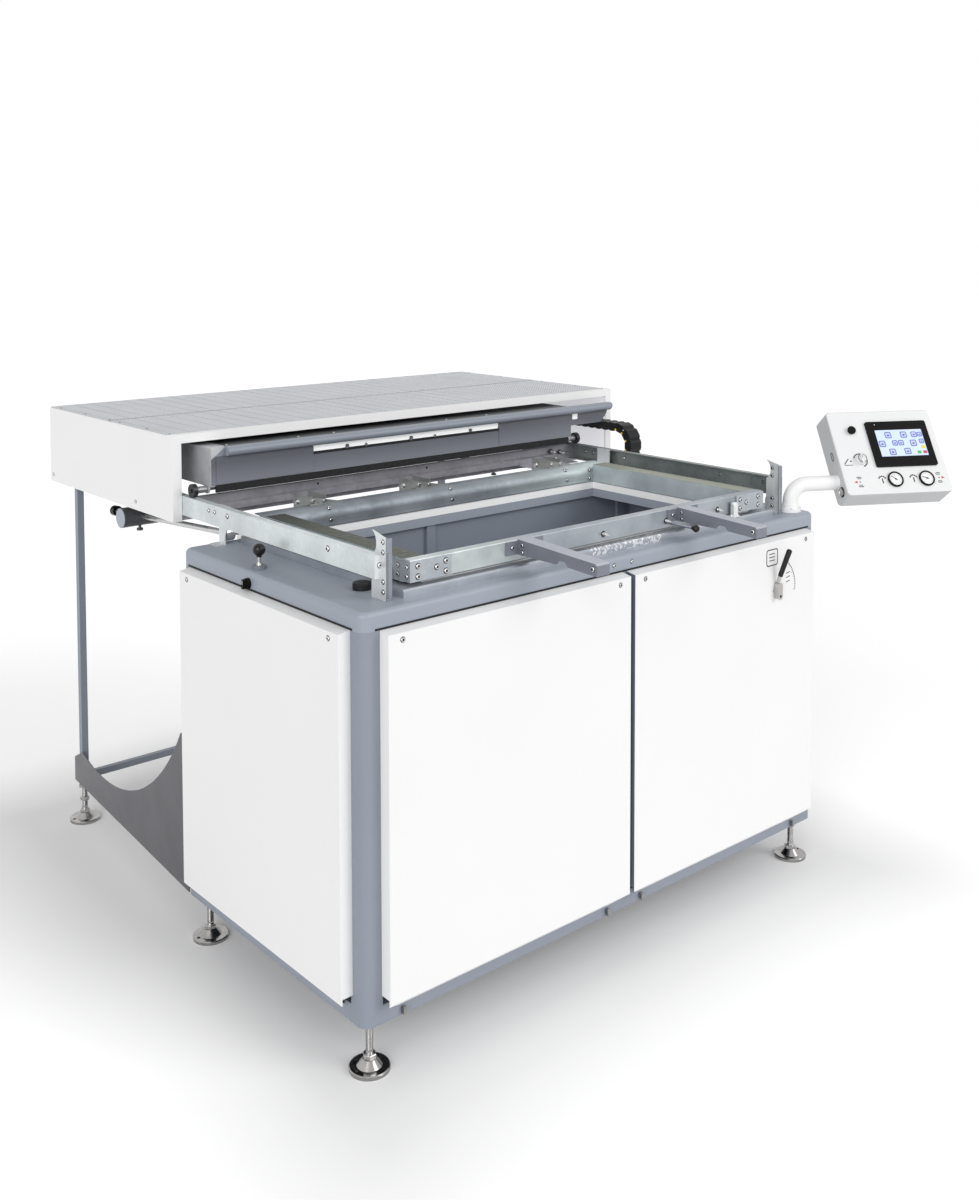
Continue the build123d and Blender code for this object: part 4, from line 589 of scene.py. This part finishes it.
for side in (-1, 1):
    for x, z in ((514, 1060), (514, 1037), (540, 1050), (592, 1060), (592, 1037)):
        socket_screw(clamp_screws, seat((side * x, corner_y, z), front), 6, 3)
    for y, z in ((12, 1058), (12, 1038), (44, 1058), (44, 1038)):
        socket_screw(clamp_screws, seat((side * corner_x, corner_y + y, z), (side, 0, 0)), 5, 2.6)
    for z in (1057, 1031):
        socket_screw(clamp_screws, seat((side * 548, rolled_y, z), front), 5, 2.6)
    for x in (239, 317):
        socket_screw(clamp_screws, seat((side * x, bar_front - 4, 1057), front), 5, 2.6)
for x in (-409, 0, 451):
    socket_screw(clamp_screws, seat((x, rolled_y, 1036), front), 5, 2.6)
    socket_screw(clamp_screws, seat((x, rolled_y + 9, 1066), (0, -1, 1)), 5, 2.6)
piece("clamp_screws", "clamp_frame", screw_steel, clamp_screws, second=dark_steel_and_shade)
for x, z in ((-14, 1044), (216, 1044), (422, 1045)):
    wing_screw(wing_screws, seat((x, bar_front, z), front, (0.35, 0, 1)))
piece("wing_screws", "clamp_frame", screw_steel, wing_screws, second=dark_steel_and_shade)


# Lift handles: folded channels in a smooth satin zinc, with a round screw near the outer end.
# The pull rod beside the right one has a black ball.
def ball_knob(radius, neck_r, neck_l):
    """A ball's profile, from its neck up to its flat crown."""
    profile = [(0, -radius - neck_l), (neck_r, -radius - neck_l), (neck_r, -radius * 0.92)]
    profile += [(radius * sin(radians(a)), -radius * cos(radians(a))) for a in range(30, 171, 10)]
    return profile + [(radius * 0.1, radius * 0.99), (0, radius * 0.99)]


handle_zinc = galvanised("handle_zinc", None, (0.38, 0.5), 0.5)
# Faces that look up are painted lighter and the sides darker, as painted light and shade.
normal = handle_zinc.node("ShaderNodeTexCoord", out="Normal")
faces_up = handle_zinc.node("ShaderNodeSeparateXYZ", {}, {0: normal}, 2) > 0.5
shaded_handle_sides = handle_zinc.mix(handle_zinc.noise(9, 4), (0.17, 0.18, 0.215), (0.25, 0.265, 0.305))
lit_handle_top = handle_zinc.mix(handle_zinc.noise(7, 4), (0.36, 0.38, 0.43), (0.48, 0.5, 0.56))
handle_zinc.set(base_color=handle_zinc.mix(faces_up, shaded_handle_sides, lit_handle_top))
handle_zinc.on("lift_handles")
handle_front = box_of("lift_handles")[0].y
handle_x, handle_half = 278, 20
handle_screws, pull_ball = bmesh.new(), bmesh.new()
for middle in (-handle_x, handle_x):
    for side in (-1, 1):
        x = middle + side * handle_half
        socket_screw(handle_screws, seat((x, handle_front + 13, 1050), (side, 0, 0)), 6)
        for z in (1062, 1045):
            socket_screw(handle_screws, seat((x, bar_front - 16, z), (side, 0, 0)))
piece("handle_screws", "clamp_frame", screw_steel, handle_screws, second=dark_steel_and_shade)
gloss_black = Finish("black_phenolic", (40, (0.005, 0.005, 0.006), (0.009, 0.009, 0.01)), (60, 0.1, 0.18),
                     coat_weight=0.3, specular_ior_level=0.15)
turned(pull_ball, seat((230, bar_front - 89, 1036), front), ball_knob(9.4, 5, 3), 32)
piece("pull_ball", "clamp_frame", gloss_black, pull_ball)

# Hinge: a ground shaft in zinc-plated blocks carries three folded arms, whose bolts show on their braces.
# A lever hub at each end carries a bright rod with a black cap and a dark round weight.
ground_steel = Finish("ground_steel", metallic=1.0)
scratches, polish = ground_steel.noise(50, 2, (0.1, 1, 1)), ground_steel.noise(300, 2, (0.05, 1, 1))
ground_steel.set(base_color=ground_steel.mix(scratches, (0.5, 0.5, 0.5), (0.66, 0.66, 0.67)),
                 roughness=polish.span(0.3, 0.7, 0.16, 0.3))
ground_steel.on("hinge_shaft", "hinge_bearings", "table_rods")
galvanised("arm_zinc", ((0.21, 0.22, 0.21), (0.37, 0.385, 0.365)), (0.34, 0.48), 0.6).on("hinge_arms")
arm_front = box_of("hinge_arms")[0].y
arm_bolts = bmesh.new()
for x in (-430, -80, 430):
    for step, z in ((-16, 1085), (20, 1083)):
        turned(arm_bolts, seat((x + step, arm_front, z), front),
               [(0, 4), (5.2, 4), (6, 3), (6, 0), (0, 0)], 6)
    for side in (-1, 1):
        turned(arm_bolts, seat((x + side * 25, arm_front + 62, 1076), (side, 0, 0)),
               [(0, 5), (6.2, 5), (7, 4), (7, 1), (9, 1), (9, 0), (0, 0)], 6)
piece("arm_bolts", "clamp_frame", screw_steel, arm_bolts)
rod_steel = Finish("rod_steel", (40, (0.5, 0.5, 0.5), (0.7, 0.7, 0.71)), (80, 0.2, 0.32), metallic=0.9)
rod_cap_y = 1.012
rod_steel.patch(rod_steel.y > rod_cap_y, (0.01, 0.01, 0.011))
rod_steel.on("balance_rods")
weight_iron = Finish("weight_iron", (60, (0.06, 0.065, 0.07), (0.1, 0.105, 0.115)), (90, 0.32, 0.45),
                     metallic=0.2)
weight_end_x = 0.7225
weight_iron.patch(abs(weight_iron.x) > weight_end_x, (0.36, 0.4, 0.45))
weight_iron.bump(weight_iron.noise(400), 0.2, 0.0003)
weight_iron.on("balance_weights")

# Deck fittings: a rubber buffer, a machined guide block with its fixing nut, and the ball lever with a
# bright stem and a collar. The pointer knob on the apron is moulded black.
rubber = Finish("black_rubber", (90, (0.015, 0.015, 0.016), (0.03, 0.03, 0.032)), (120, 0.5, 0.68),
                specular_ior_level=0.15)
rubber.bump(rubber.noise(800), 0.15, 0.0003)
rubber.on("heater_seal", "lever_grip")
fitting = Finish("buffer_and_socket", (90, (0.008, 0.008, 0.009), (0.02, 0.02, 0.021)), (120, 0.4, 0.55),
                 specular_ior_level=0.2)
fitting.patch(fitting.y > 0, (0.2, 0.22, 0.26))
fitting.on("deck_fittings")
plated.on("ball_lever", "vacuum_lever", "vacuum_valve")
galvanised("bright_zinc", ((0.66, 0.68, 0.69), (0.86, 0.88, 0.88)), (0.24, 0.36), 0.5).on("guide_block")
block_low, block_high = box_of("guide_block")
block_screws, lever_ball, lever_collar, pointer = bmesh.new(), bmesh.new(), bmesh.new(), bmesh.new()
for x in (block_low.x + 5, block_high.x - 5):
    turned(block_screws, seat((x, (block_low.y + block_high.y) / 2, block_low.z + 5), up),
           [(0, 3), (3.2, 3), (3.8, 2), (3.8, 0), (0, 0)], 6)
piece("guide_block_screws", "root", screw_steel, block_screws)
stem_low, stem_high = box_of("ball_lever")
stem_x, stem_y = (stem_low.x + stem_high.x) / 2, (stem_low.y + stem_high.y) / 2
turned(lever_ball, seat((stem_x, stem_y, stem_high.z - 15), up), ball_knob(15.2, 6.5, 2), 40)
piece("lever_ball", "ball_lever", gloss_black, lever_ball)
turned(lever_collar, seat((stem_x, stem_y, deck_high.z + 8), up),
       [(4.1, 7), (5.4, 7), (5.9, 6), (5.9, 0), (4.1, 0), (4.1, 7)], 28)
piece("lever_collar", "ball_lever", plated, lever_collar)
black_moulding = Finish("black_moulding", (60, (0.006, 0.006, 0.006), (0.012, 0.012, 0.012)),
                        (150, 0.3, 0.42), specular_ior_level=0.06)
black_moulding.bump(black_moulding.noise(1200), 0.12, 0.0002)
black_moulding.on("speed_knob", "push_button", "instruments")
knob_low, knob_high = box_of("speed_knob")
print_white = Finish("white_print", (200, (0.82, 0.82, 0.82), (0.88, 0.88, 0.88)), roughness=0.5)
plate(pointer, seat((knob_low.x, (knob_low.y + knob_high.y) / 2, (knob_low.z + knob_high.z) / 2 + 4), left),
      oblong(1.6, 9), 0.3)
piece("knob_pointer", "speed_knob", print_white, pointer)


# Hood: white coated sheet. Its top is a row of narrow perforated trays, dropped in between a grey
# border and a cross strip, with small screws along the edges. The right side's inner face glows a
# little, painted light that stands for the room's light reaching it past the carriage.
def rim(mesh, place, outer, inner, thickness):
    """A flat ring between two outlines that have as many points as each other."""
    rows = [[mesh.verts.new(place @ (Vector((x, y, z)) * mm)) for x, y in line]
            for line, z in ((outer, 0), (outer, thickness), (inner, thickness), (inner, 0))]
    for a, b in zip(rows, rows[1:] + rows[:1]):
        for i in range(len(outer)):
            j = (i + 1) % len(outer)
            mesh.faces.new((a[i], a[j], b[j], b[i]))


white_coat.on("left_hood_panel", "hood_rear_panel", "hood_front_frame", "arm_flange", "arm_tube")
hood_painted_glow = powder_coat("hood_side_painted_glow", ((0.83, 0.83, 0.835), (0.865, 0.865, 0.87)), satin)
# The inner face glows: painted light.
inner_face_x = 0.9035
hood_painted_glow.set(emission_color=hood_painted_glow.mix(hood_painted_glow.x < inner_face_x, (0, 0, 0), (0.96, 0.96, 1.0)),
             emission_strength=0.5)
hood_painted_glow.on("right_hood_panel")
(x0, y0, _), (x1, y1, top_z) = box_of("hood_top")
border, seam_y, seam_w, groove = 14, 921, 16, 3.2
tray_z, tray_t, tray_cols = top_z - 3, 2.8, 30
tray_pitch = (x1 - x0 - 2 * border) / tray_cols
hole_pitch, hole_r, tray_low = 11 * mm, 3 * mm, 1.26
vent = Finish("perforated_grey", (3, (0.62, 0.64, 0.68), (0.66, 0.68, 0.72)), (8, 0.42, 0.52))
from_hole_x, from_hole_y = (vent.x / hole_pitch).part() - 0.5, (vent.y / hole_pitch).part() - 0.5
hole = (from_hole_x * from_hole_x + from_hole_y * from_hole_y) < (hole_r / hole_pitch) ** 2
# The holes are painted dark, as painted shade in them.
vent.patch(hole * (vent.z > tray_low), (0.24, 0.245, 0.26))
vent.bump(1 - hole, 0.5, 0.0006)
border_grey = powder_coat("border_grey", ((0.5, 0.51, 0.53), (0.54, 0.55, 0.57)))
border_grey.patch(abs(border_grey.y - seam_y * mm) < (seam_w / 2 + 1) * mm, (0.33, 0.34, 0.36))
trays, borders, under, hood_screws = bmesh.new(), bmesh.new(), bmesh.new(), bmesh.new()
for low_y, high_y in ((y0 + 4, seam_y - seam_w / 2), (seam_y + seam_w / 2, y1 - 8)):
    for i in range(tray_cols):
        centre = (x0 + border + (i + 0.5) * tray_pitch, (low_y + high_y) / 2, tray_z)
        plate(trays, seat(centre, up, rear),
              oblong(tray_pitch - groove, high_y - low_y - groove, 1.5, steps=2), tray_t)
piece("hood_trays", "root", vent, trays, ["hood_top"])
middle_x, middle_y = (x0 + x1) / 2, (y0 + y1) / 2
border_z = tray_z - 0.6
rim(borders, seat((middle_x, middle_y, border_z), up, rear), oblong(x1 - x0, y1 - y0),
    oblong(x1 - x0 - 2 * border, y1 - y0 - 8), 3.2)
plate(borders, seat((middle_x, seam_y, border_z), up, rear),
      oblong(x1 - x0 - 2 * border, seam_w - groove), 3.0)
piece("hood_top_border", "root", border_grey, borders)
# This near-black sheet under the trays shows in the grooves between them as painted shade.
plate(under, seat((middle_x, middle_y, border_z), up, rear), oblong(x1 - x0 - 2, y1 - y0 - 2), 0.5)
piece("hood_groove_shade", "root", dark_steel_and_shade, under)
for y in (566, 700, 870, 934, 1100, 1279):
    for x in (x0 + border / 2, x1 - border / 2):
        turned(hood_screws, seat((x, y, top_z - 0.4), up),
               [(0, 0.9), (2.2, 0.9), (3.6, 0.2), (3.6, 0), (0, 0)], 16, 1)
hood_side = box_of("left_hood_panel")[0].x
for y, z in ((1322, 1053), (754, 1055)):
    socket_screw(hood_screws, seat((hood_side, y, z), left), 4.6, 2)
piece("hood_screws", "root", screw_steel, hood_screws, second=dark_steel_and_shade)

# Heater carriage: a folded casing of light zinc, its roof coloured dark grey except over the left end.
# The coated fascia carries a rolled lip, and its face is painted darker below the lip as painted shade.
# Its long slot shows a white strip that glows as painted light, above a black band.
casing = Finish("heater_casing_zinc", gloss=(60, 0.36, 0.5), metallic=0.45)
roof_z, end_plate_x = 1.2252, -0.602
casing.set(base_color=casing.blotchy(9, (0.42, 0.43, 0.45), (0.62, 0.63, 0.65), 3))
casing.patch((casing.z > roof_z) * (casing.x > end_plate_x), (0.075, 0.078, 0.085))
casing.on("heater_casing")
fascia_coat = powder_coat("fascia_coat_painted_shade", gloss=satin)
# The face is painted darker below the lip, most just under it, as painted shade.
lip, painted_shade_fade = fascia_coat.z.span(1.2035, 1.2055), fascia_coat.z.span(1.186, 1.13)
fascia_coat.set(base_color=fascia_coat.mix(painted_shade_fade, (0.105, 0.112, 0.133), (0.2, 0.212, 0.245)))
fascia_coat.patch(lip, (0.235, 0.26, 0.305))
fascia_coat.on("heater_fascia")
slot_w, slot_low, slot_high, casing_front, band_h = 679, 1178, 1204, 472, 8
slot_glow, band, slot_studs = bmesh.new(), bmesh.new(), bmesh.new()
plate(slot_glow, seat((0, casing_front, (slot_low + band_h + slot_high) / 2), front),
      oblong(slot_w, slot_high - slot_low - band_h), 1.2)
plate(slot_glow, seat((672, casing_front + 1.2, 1194), front), oblong(30, 22), 1.0)
plate(band, seat((0, casing_front, slot_low + band_h / 2), front), oblong(slot_w, band_h), 1.2)
# The white strip in the slot glows: painted light.
glow_white = Finish("white_painted_glow", (20, (0.88, 0.88, 0.88), (0.92, 0.92, 0.92)), roughness=0.5,
                      emission_color=(1, 1, 1), emission_strength=0.25)
piece("slot_painted_glow", "heater", glow_white, slot_glow)
piece("slot_band", "heater", black_strip_finish, band)
for x in (-226, -160, 0, 90):
    socket_screw(slot_studs, seat((x, casing_front - 1.2, slot_low + 9), front), 4.5, 3)
for x in (-588, -365, -247, 161, 321):
    turned(slot_studs, seat((x, 505, 1226), up), [(0, 1.4), (2.4, 1.4), (3.4, 0), (0, 0)], 16)
piece("fascia_studs", "heater", screw_steel, slot_studs, second=dark_steel_and_shade)
Finish("heater_ceramic", (30, (0.7, 0.68, 0.63), (0.8, 0.78, 0.73)), (70, 0.28, 0.4)).on("heater_elements")
wheel_finish = Finish("roller_and_axle", (60, (0.2, 0.2, 0.21), (0.32, 0.32, 0.33)), (90, 0.28, 0.4),
                      metallic=0.5)
tyre_x = 0.6872
wheel_finish.patch(abs(wheel_finish.x) > tyre_x, (0.02, 0.02, 0.022))
wheel_finish.on("front_wheels", "rear_wheels")

# Cable chain: moulded black links. A yellow pin shows at each joint near the inner edge of the bend,
# and every second link carries a white mark further out.
Finish("chain_plastic", (70, (0.01, 0.01, 0.011), (0.02, 0.02, 0.022)), (120, 0.28, 0.4),
       specular_ior_level=0.15).on("cable_chain")
chain_low, chain_high = box_of("cable_chain")
outer_r, link_half = (chain_high.z - chain_low.z) / 2, 14
bend_y, bend_z = chain_low.y + outer_r, (chain_low.z + chain_high.z) / 2
pin_r, mark_r = outer_r - link_half - 8, outer_r - link_half + 5
pin_yellow = Finish("yellow_pins", (200, (0.75, 0.55, 0.03), (0.85, 0.64, 0.05)), roughness=0.4)
pins, marks = bmesh.new(), bmesh.new()
for x, toward in ((chain_low.x, left), (chain_high.x, right)):
    for i in range(6):
        a = radians(90 + i * 36)
        turned(pins, seat((x, bend_y + pin_r * cos(a), bend_z + pin_r * sin(a)), toward),
               [(0, 0.9), (3.2, 0.9), (3.8, 0.3), (3.8, 0), (0, 0)], 14)
    for a in (radians(126), radians(198)):
        disc(marks, seat((x, bend_y + mark_r * cos(a), bend_z + mark_r * sin(a)), toward), 2, 0.5, 14)
piece("chain_pins", "chain", pin_yellow, pins)
piece("chain_marks", "chain", print_white, marks)

# Lift and vacuum plant inside the cabinet: alloy table and cylinder, bronze bushes, an iron pump and
# plated pipes.
alloy = Finish("milled_alloy", (12, (0.56, 0.57, 0.58), (0.68, 0.69, 0.7)), metallic=0.9)
milling = (alloy.x * 900).wave() * 0.5 + alloy.noise(40) * 0.5
alloy.set(roughness=milling.span(-0.3, 0.8, 0.26, 0.4))
alloy.on("lift_cylinder", "forming_table")
Finish("bush_bronze", (50, (0.42, 0.28, 0.12), (0.56, 0.39, 0.18)), (90, 0.24, 0.36), metallic=1.0).on(
    "guide_bushes")
iron = Finish("pump_iron", (60, (0.06, 0.065, 0.075), (0.1, 0.105, 0.115)), (200, 0.4, 0.58), metallic=0.3)
iron.bump(iron.noise(500), 0.4, 0.0005)
iron.on("vacuum_pump")
plated.on("vacuum_pipes")


# Vacuum lever's scale: a sector printed on the panel beside the lever, with plain ticks, three short
# strokes and a small open square above.
def arc(radius, start, end, width, steps=16):
    """The outline of a curved stroke about the origin, between two angles in degrees."""
    angles = [radians(start + (end - start) * i / steps) for i in range(steps + 1)]
    return [((radius + width / 2) * cos(a), (radius + width / 2) * sin(a)) for a in angles] + \
           [((radius - width / 2) * cos(a), (radius - width / 2) * sin(a)) for a in angles[::-1]]


def ray(angle, inner, outer, width):
    """The outline of a straight stroke that points away from the origin, at an angle in degrees."""
    x, y = cos(radians(angle)), sin(radians(angle))
    return bar(inner * x, inner * y, outer * x, outer * y, width)


scale_grey = Finish("grey_print", (200, (0.03, 0.03, 0.032), (0.045, 0.045, 0.05)), roughness=0.5)
lever_x, _, lever_z = [value / mm for value in joints["vacuum_lever_turn"]["pos_m"]]
scale_place = seat((lever_x, box_of("right_front_panel")[0].y, lever_z), front)
print_t = 0.25
scale = bmesh.new()
plate(scale, scale_place, arc(86, -8, 62, 1.6), print_t)
for i in range(15):
    plate(scale, scale_place, ray(-8 + 5 * i, 78 if i % 7 == 0 else 81.5, 85, 1.4), print_t)
for y in (14, 26, 38):
    plate(scale, scale_place, bar(46, y, 62, y + 3, 2.4), print_t)
rim(scale, scale_place, oblong(50, 46, 8, -17, 92), oblong(44, 40, 6, -17, 92), print_t)
for y in (84, 93, 102):
    plate(scale, scale_place, bar(-30, y, -6, y, 2.4), print_t)
piece("lever_scale", "root", scale_grey, scale)

# Control box: a white moulded housing on the arm. The face carries a black button, a white dial, a
# display in its black bezel and two gauges, with plain printed signs beside them.
across = Vector(joints["box_tilt"]["axis"])
outward = -Vector(joints["button_press"]["axis"])
upward = outward.cross(across)
box_corners = [vertex.co for vertex in nodes["control_box"].data.vertices]


def reach(direction):
    """The box's lowest and highest distance along a direction, in millimetres."""
    spread = [corner.dot(direction) / mm for corner in box_corners]
    return min(spread), max(spread)


face_at = sum((direction * sum(reach(direction)) / 2 for direction in (across, upward)), Vector())
face_at += outward * reach(outward)[1]


def on_face(x, y, height=0.0):
    """A place on the box's face, from its middle, in millimetres."""
    return seat(face_at + across * x + upward * y + outward * height, outward, upward)


case_gloss = (0.34, 0.44)
powder_coat("case_white", ((0.74, 0.745, 0.75), (0.77, 0.775, 0.78)), case_gloss).on("program_dial")
# The housing's sides are painted grey and only its face white, as painted shade on the sides.
box_shell_shaded_sides = powder_coat("box_shell_shaded_sides", ((0.52, 0.53, 0.54), (0.56, 0.57, 0.58)), case_gloss, 5)
depth = box_shell_shaded_sides.node("ShaderNodeVectorMath", {"operation": "DOT_PRODUCT"},
                         {0: box_shell_shaded_sides.place, 1: tuple(outward)}, "Value")
box_shell_shaded_sides.patch(depth > face_at.dot(outward) * mm - 0.0015, (0.75, 0.755, 0.76))
box_shell_shaded_sides.on("control_box")

# Gauges: two pressure dials in black rings. Each has a white face, a scale of plain ticks and a black
# needle on its hub.
gauges, needles, gauge_ticks = bmesh.new(), bmesh.new(), bmesh.new()
for x, y, needle in ((-7, -89, 142), (90, -90, 158)):
    disc(gauges, on_face(x, y, 4), 18.6, 0.6, 40)
    for i in range(25):
        inner = 13 if i % 4 == 0 else 15
        plate(gauge_ticks, on_face(x, y, 4.6), ray(-45 + 270 * i / 24, inner, 17, 0.6), 0.2)
    plate(needles, on_face(x, y, 4.9), ray(needle, -6, 14, 1.8), 0.5)
    turned(needles, on_face(x, y, 4.6), [(0, 1.2), (2, 1.2), (2.6, 0.6), (2.6, 0), (0, 0)], 18)
piece("gauge_faces", "box", print_white, gauges)
piece("gauge_needles", "box", dark_steel_and_shade, needles)
piece("gauge_ticks", "box", scale_grey, gauge_ticks)

# Display: a lit, pale blue screen in its bezel. It shows plain square icons and three coloured keys, and
# a tiny lamp sits in the bezel above it.
display_x, display_y, display_w, display_h = 45, 23.5, 148, 85


def on_display(across_share, down_share, height):
    """A place on the display, from the shares of its width and height."""
    return on_face(display_x + (across_share - 0.5) * display_w, display_y + (0.5 - down_share) * display_h,
                   height)


screen = Finish("display_glass", (14, (0.5, 0.62, 0.86), (0.68, 0.77, 0.93)), roughness=0.2,
                emission_color=(0.7, 0.8, 1.0), emission_strength=0.12)
icon_blue = Finish("icon_blue", (100, (0.09, 0.12, 0.45), (0.13, 0.17, 0.55)), roughness=0.4)
icon_pale = Finish("icon_pale", (100, (0.48, 0.53, 0.82), (0.6, 0.65, 0.9)), roughness=0.4)
glass, icons, fills, lamp_dot = bmesh.new(), bmesh.new(), bmesh.new(), bmesh.new()
plate(glass, on_face(display_x, display_y, 4), oblong(display_w - 0.6, display_h - 0.6), 0.5)
piece("display", "box", screen, glass)
for a, b, size in ((0.26, 0.2, 17), (0.59, 0.2, 17), (0.81, 0.2, 15), (0.93, 0.2, 12), (0.09, 0.52, 17),
                   (0.36, 0.5, 14), (0.49, 0.5, 14), (0.75, 0.52, 17), (0.93, 0.46, 12), (0.26, 0.83, 17),
                   (0.58, 0.82, 17)):
    rim(icons, on_display(a, b, 4.5), oblong(size + 3, size + 3, 4), oblong(size - 2, size - 2, 2), 0.4)
    plate(fills, on_display(a, b, 4.5), oblong(size - 2, size - 2, 2), 0.2)
    plate(icons, on_display(a, b, 4.7), oblong(size * 0.4, size * 0.3, 1, 0, -1), 0.3)
piece("display_icons", "box", icon_blue, icons)
piece("display_fills", "box", icon_pale, fills)
for name, a, b, colour in (("yellow", 0.93, 0.68, (0.8, 0.7, 0.05)), ("green", 0.82, 0.87, (0.05, 0.5, 0.15)),
                           ("red", 0.94, 0.87, (0.6, 0.05, 0.12))):
    key_paint = Finish("key_" + name, (100, tuple(0.85 * c for c in colour), colour), roughness=0.4)
    key = bmesh.new()
    plate(key, on_display(a, b, 4.5), oblong(12, 9, 1.5), 0.4)
    piece("display_key_" + name, "box", key_paint, key)
disc(lamp_dot, on_face(-24, 83, 6), 1.3, 0.3, 12)
piece("bezel_lamp", "box", print_white, lamp_dot)

# Printed signs on the face: a sector round the dial, a slope with a dot, crossed waves with a red arrow
# beside each gauge, and a stem with dots before it. The dial carries a dark line and ring.
dial_x, dial_y = -96, -25
slope = on_face(-134, -27)
signs, red_signs, dial_line = bmesh.new(), bmesh.new(), bmesh.new()
plate(signs, on_face(dial_x, dial_y), arc(20, -75, 160, 3.4, 32), print_t)
plate(signs, slope, bar(-14, -9, 2, 8, 2.6), print_t)
plate(signs, slope, bar(-14, -12, 12, -12, 1.8), print_t)
disc(signs, on_face(-126, -27), 2.6, print_t, 12)
for x, y, facing in ((-116, -92, -1), (130, -88, 1)):
    for start in (60, 240):
        plate(signs, on_face(x, y), arc(15, start, start + 60, 2.4, 8), print_t)
        plate(signs, on_face(x, y), arc(10.5, start, start + 60, 2.2, 8), print_t)
    disc(signs, on_face(x, y), 2, print_t, 12)
    plate(red_signs, on_face(x + facing * 13, y), [(-facing * 5, -4), (facing * 5, 0), (-facing * 5, 4)],
          print_t)
for x, y in ((-46, -88), (51, -88)):
    for a in range(30, 151, 30):
        disc(signs, on_face(x + 11 * cos(radians(a)), y + 11 * sin(radians(a))), 2.6, print_t, 10)
    plate(signs, on_face(x, y), bar(0, -11, 0, 4, 3.6), print_t)
piece("face_signs", "box", scale_grey, signs)
red_print = Finish("red_print", (100, (0.5, 0.03, 0.03), (0.6, 0.05, 0.05)), roughness=0.5)
piece("turn_signs", "box", red_print, red_signs)
plate(dial_line, on_face(dial_x, dial_y + 6, 16), oblong(1.8, 9), 0.3)
ring(dial_line, on_face(dial_x, dial_y, 15.8), 11.8, 13.4, 0.4, 40)
piece("dial_pointer", "dial", dark_steel_and_shade, dial_line)

# Arm joints: a plated hexagon screw, with a dark disc round its foot as painted shade, clamps the box to
# the tube, with an oval socket above it, and four screws hold the arm's flange to the deck.
box_side = face_at - across * (reach(across)[1] - reach(across)[0]) / 2 - outward * 30
clamp_place = seat(box_side + upward * -108, -across, upward)
gland, side_socket, flange_screws = bmesh.new(), bmesh.new(), bmesh.new()
turned(gland, clamp_place, [(0, 12), (5.5, 12), (7, 10), (7, 8), (10.5, 7), (12, 6), (12, 0.4), (0, 0.4)], 6)
disc(gland, clamp_place, 15, 0.4, 24, 1)
piece("box_clamp_screw", "box", plated, gland, second=dark_steel_and_shade)
rim(side_socket, seat(box_side + upward * 2, -across, upward), oblong(12, 26, 5), oblong(8, 22, 3.5), 0.8)
piece("box_side_socket", "box", scale_grey, side_socket)
arm_x, arm_y, _ = [value / mm for value in joints["arm_swivel"]["pos_m"]]
bolt_circle_r, flange_t = 27.5, 10
for a in map(radians, (45, 135, 225, 315)):
    x, y = arm_x + bolt_circle_r * cos(a), arm_y + bolt_circle_r * sin(a)
    socket_screw(flange_screws, seat((x, y, deck_high.z + flange_t), up), 2.4, 1.6)
piece("flange_screws", "root", screw_steel, flange_screws, second=dark_steel_and_shade)
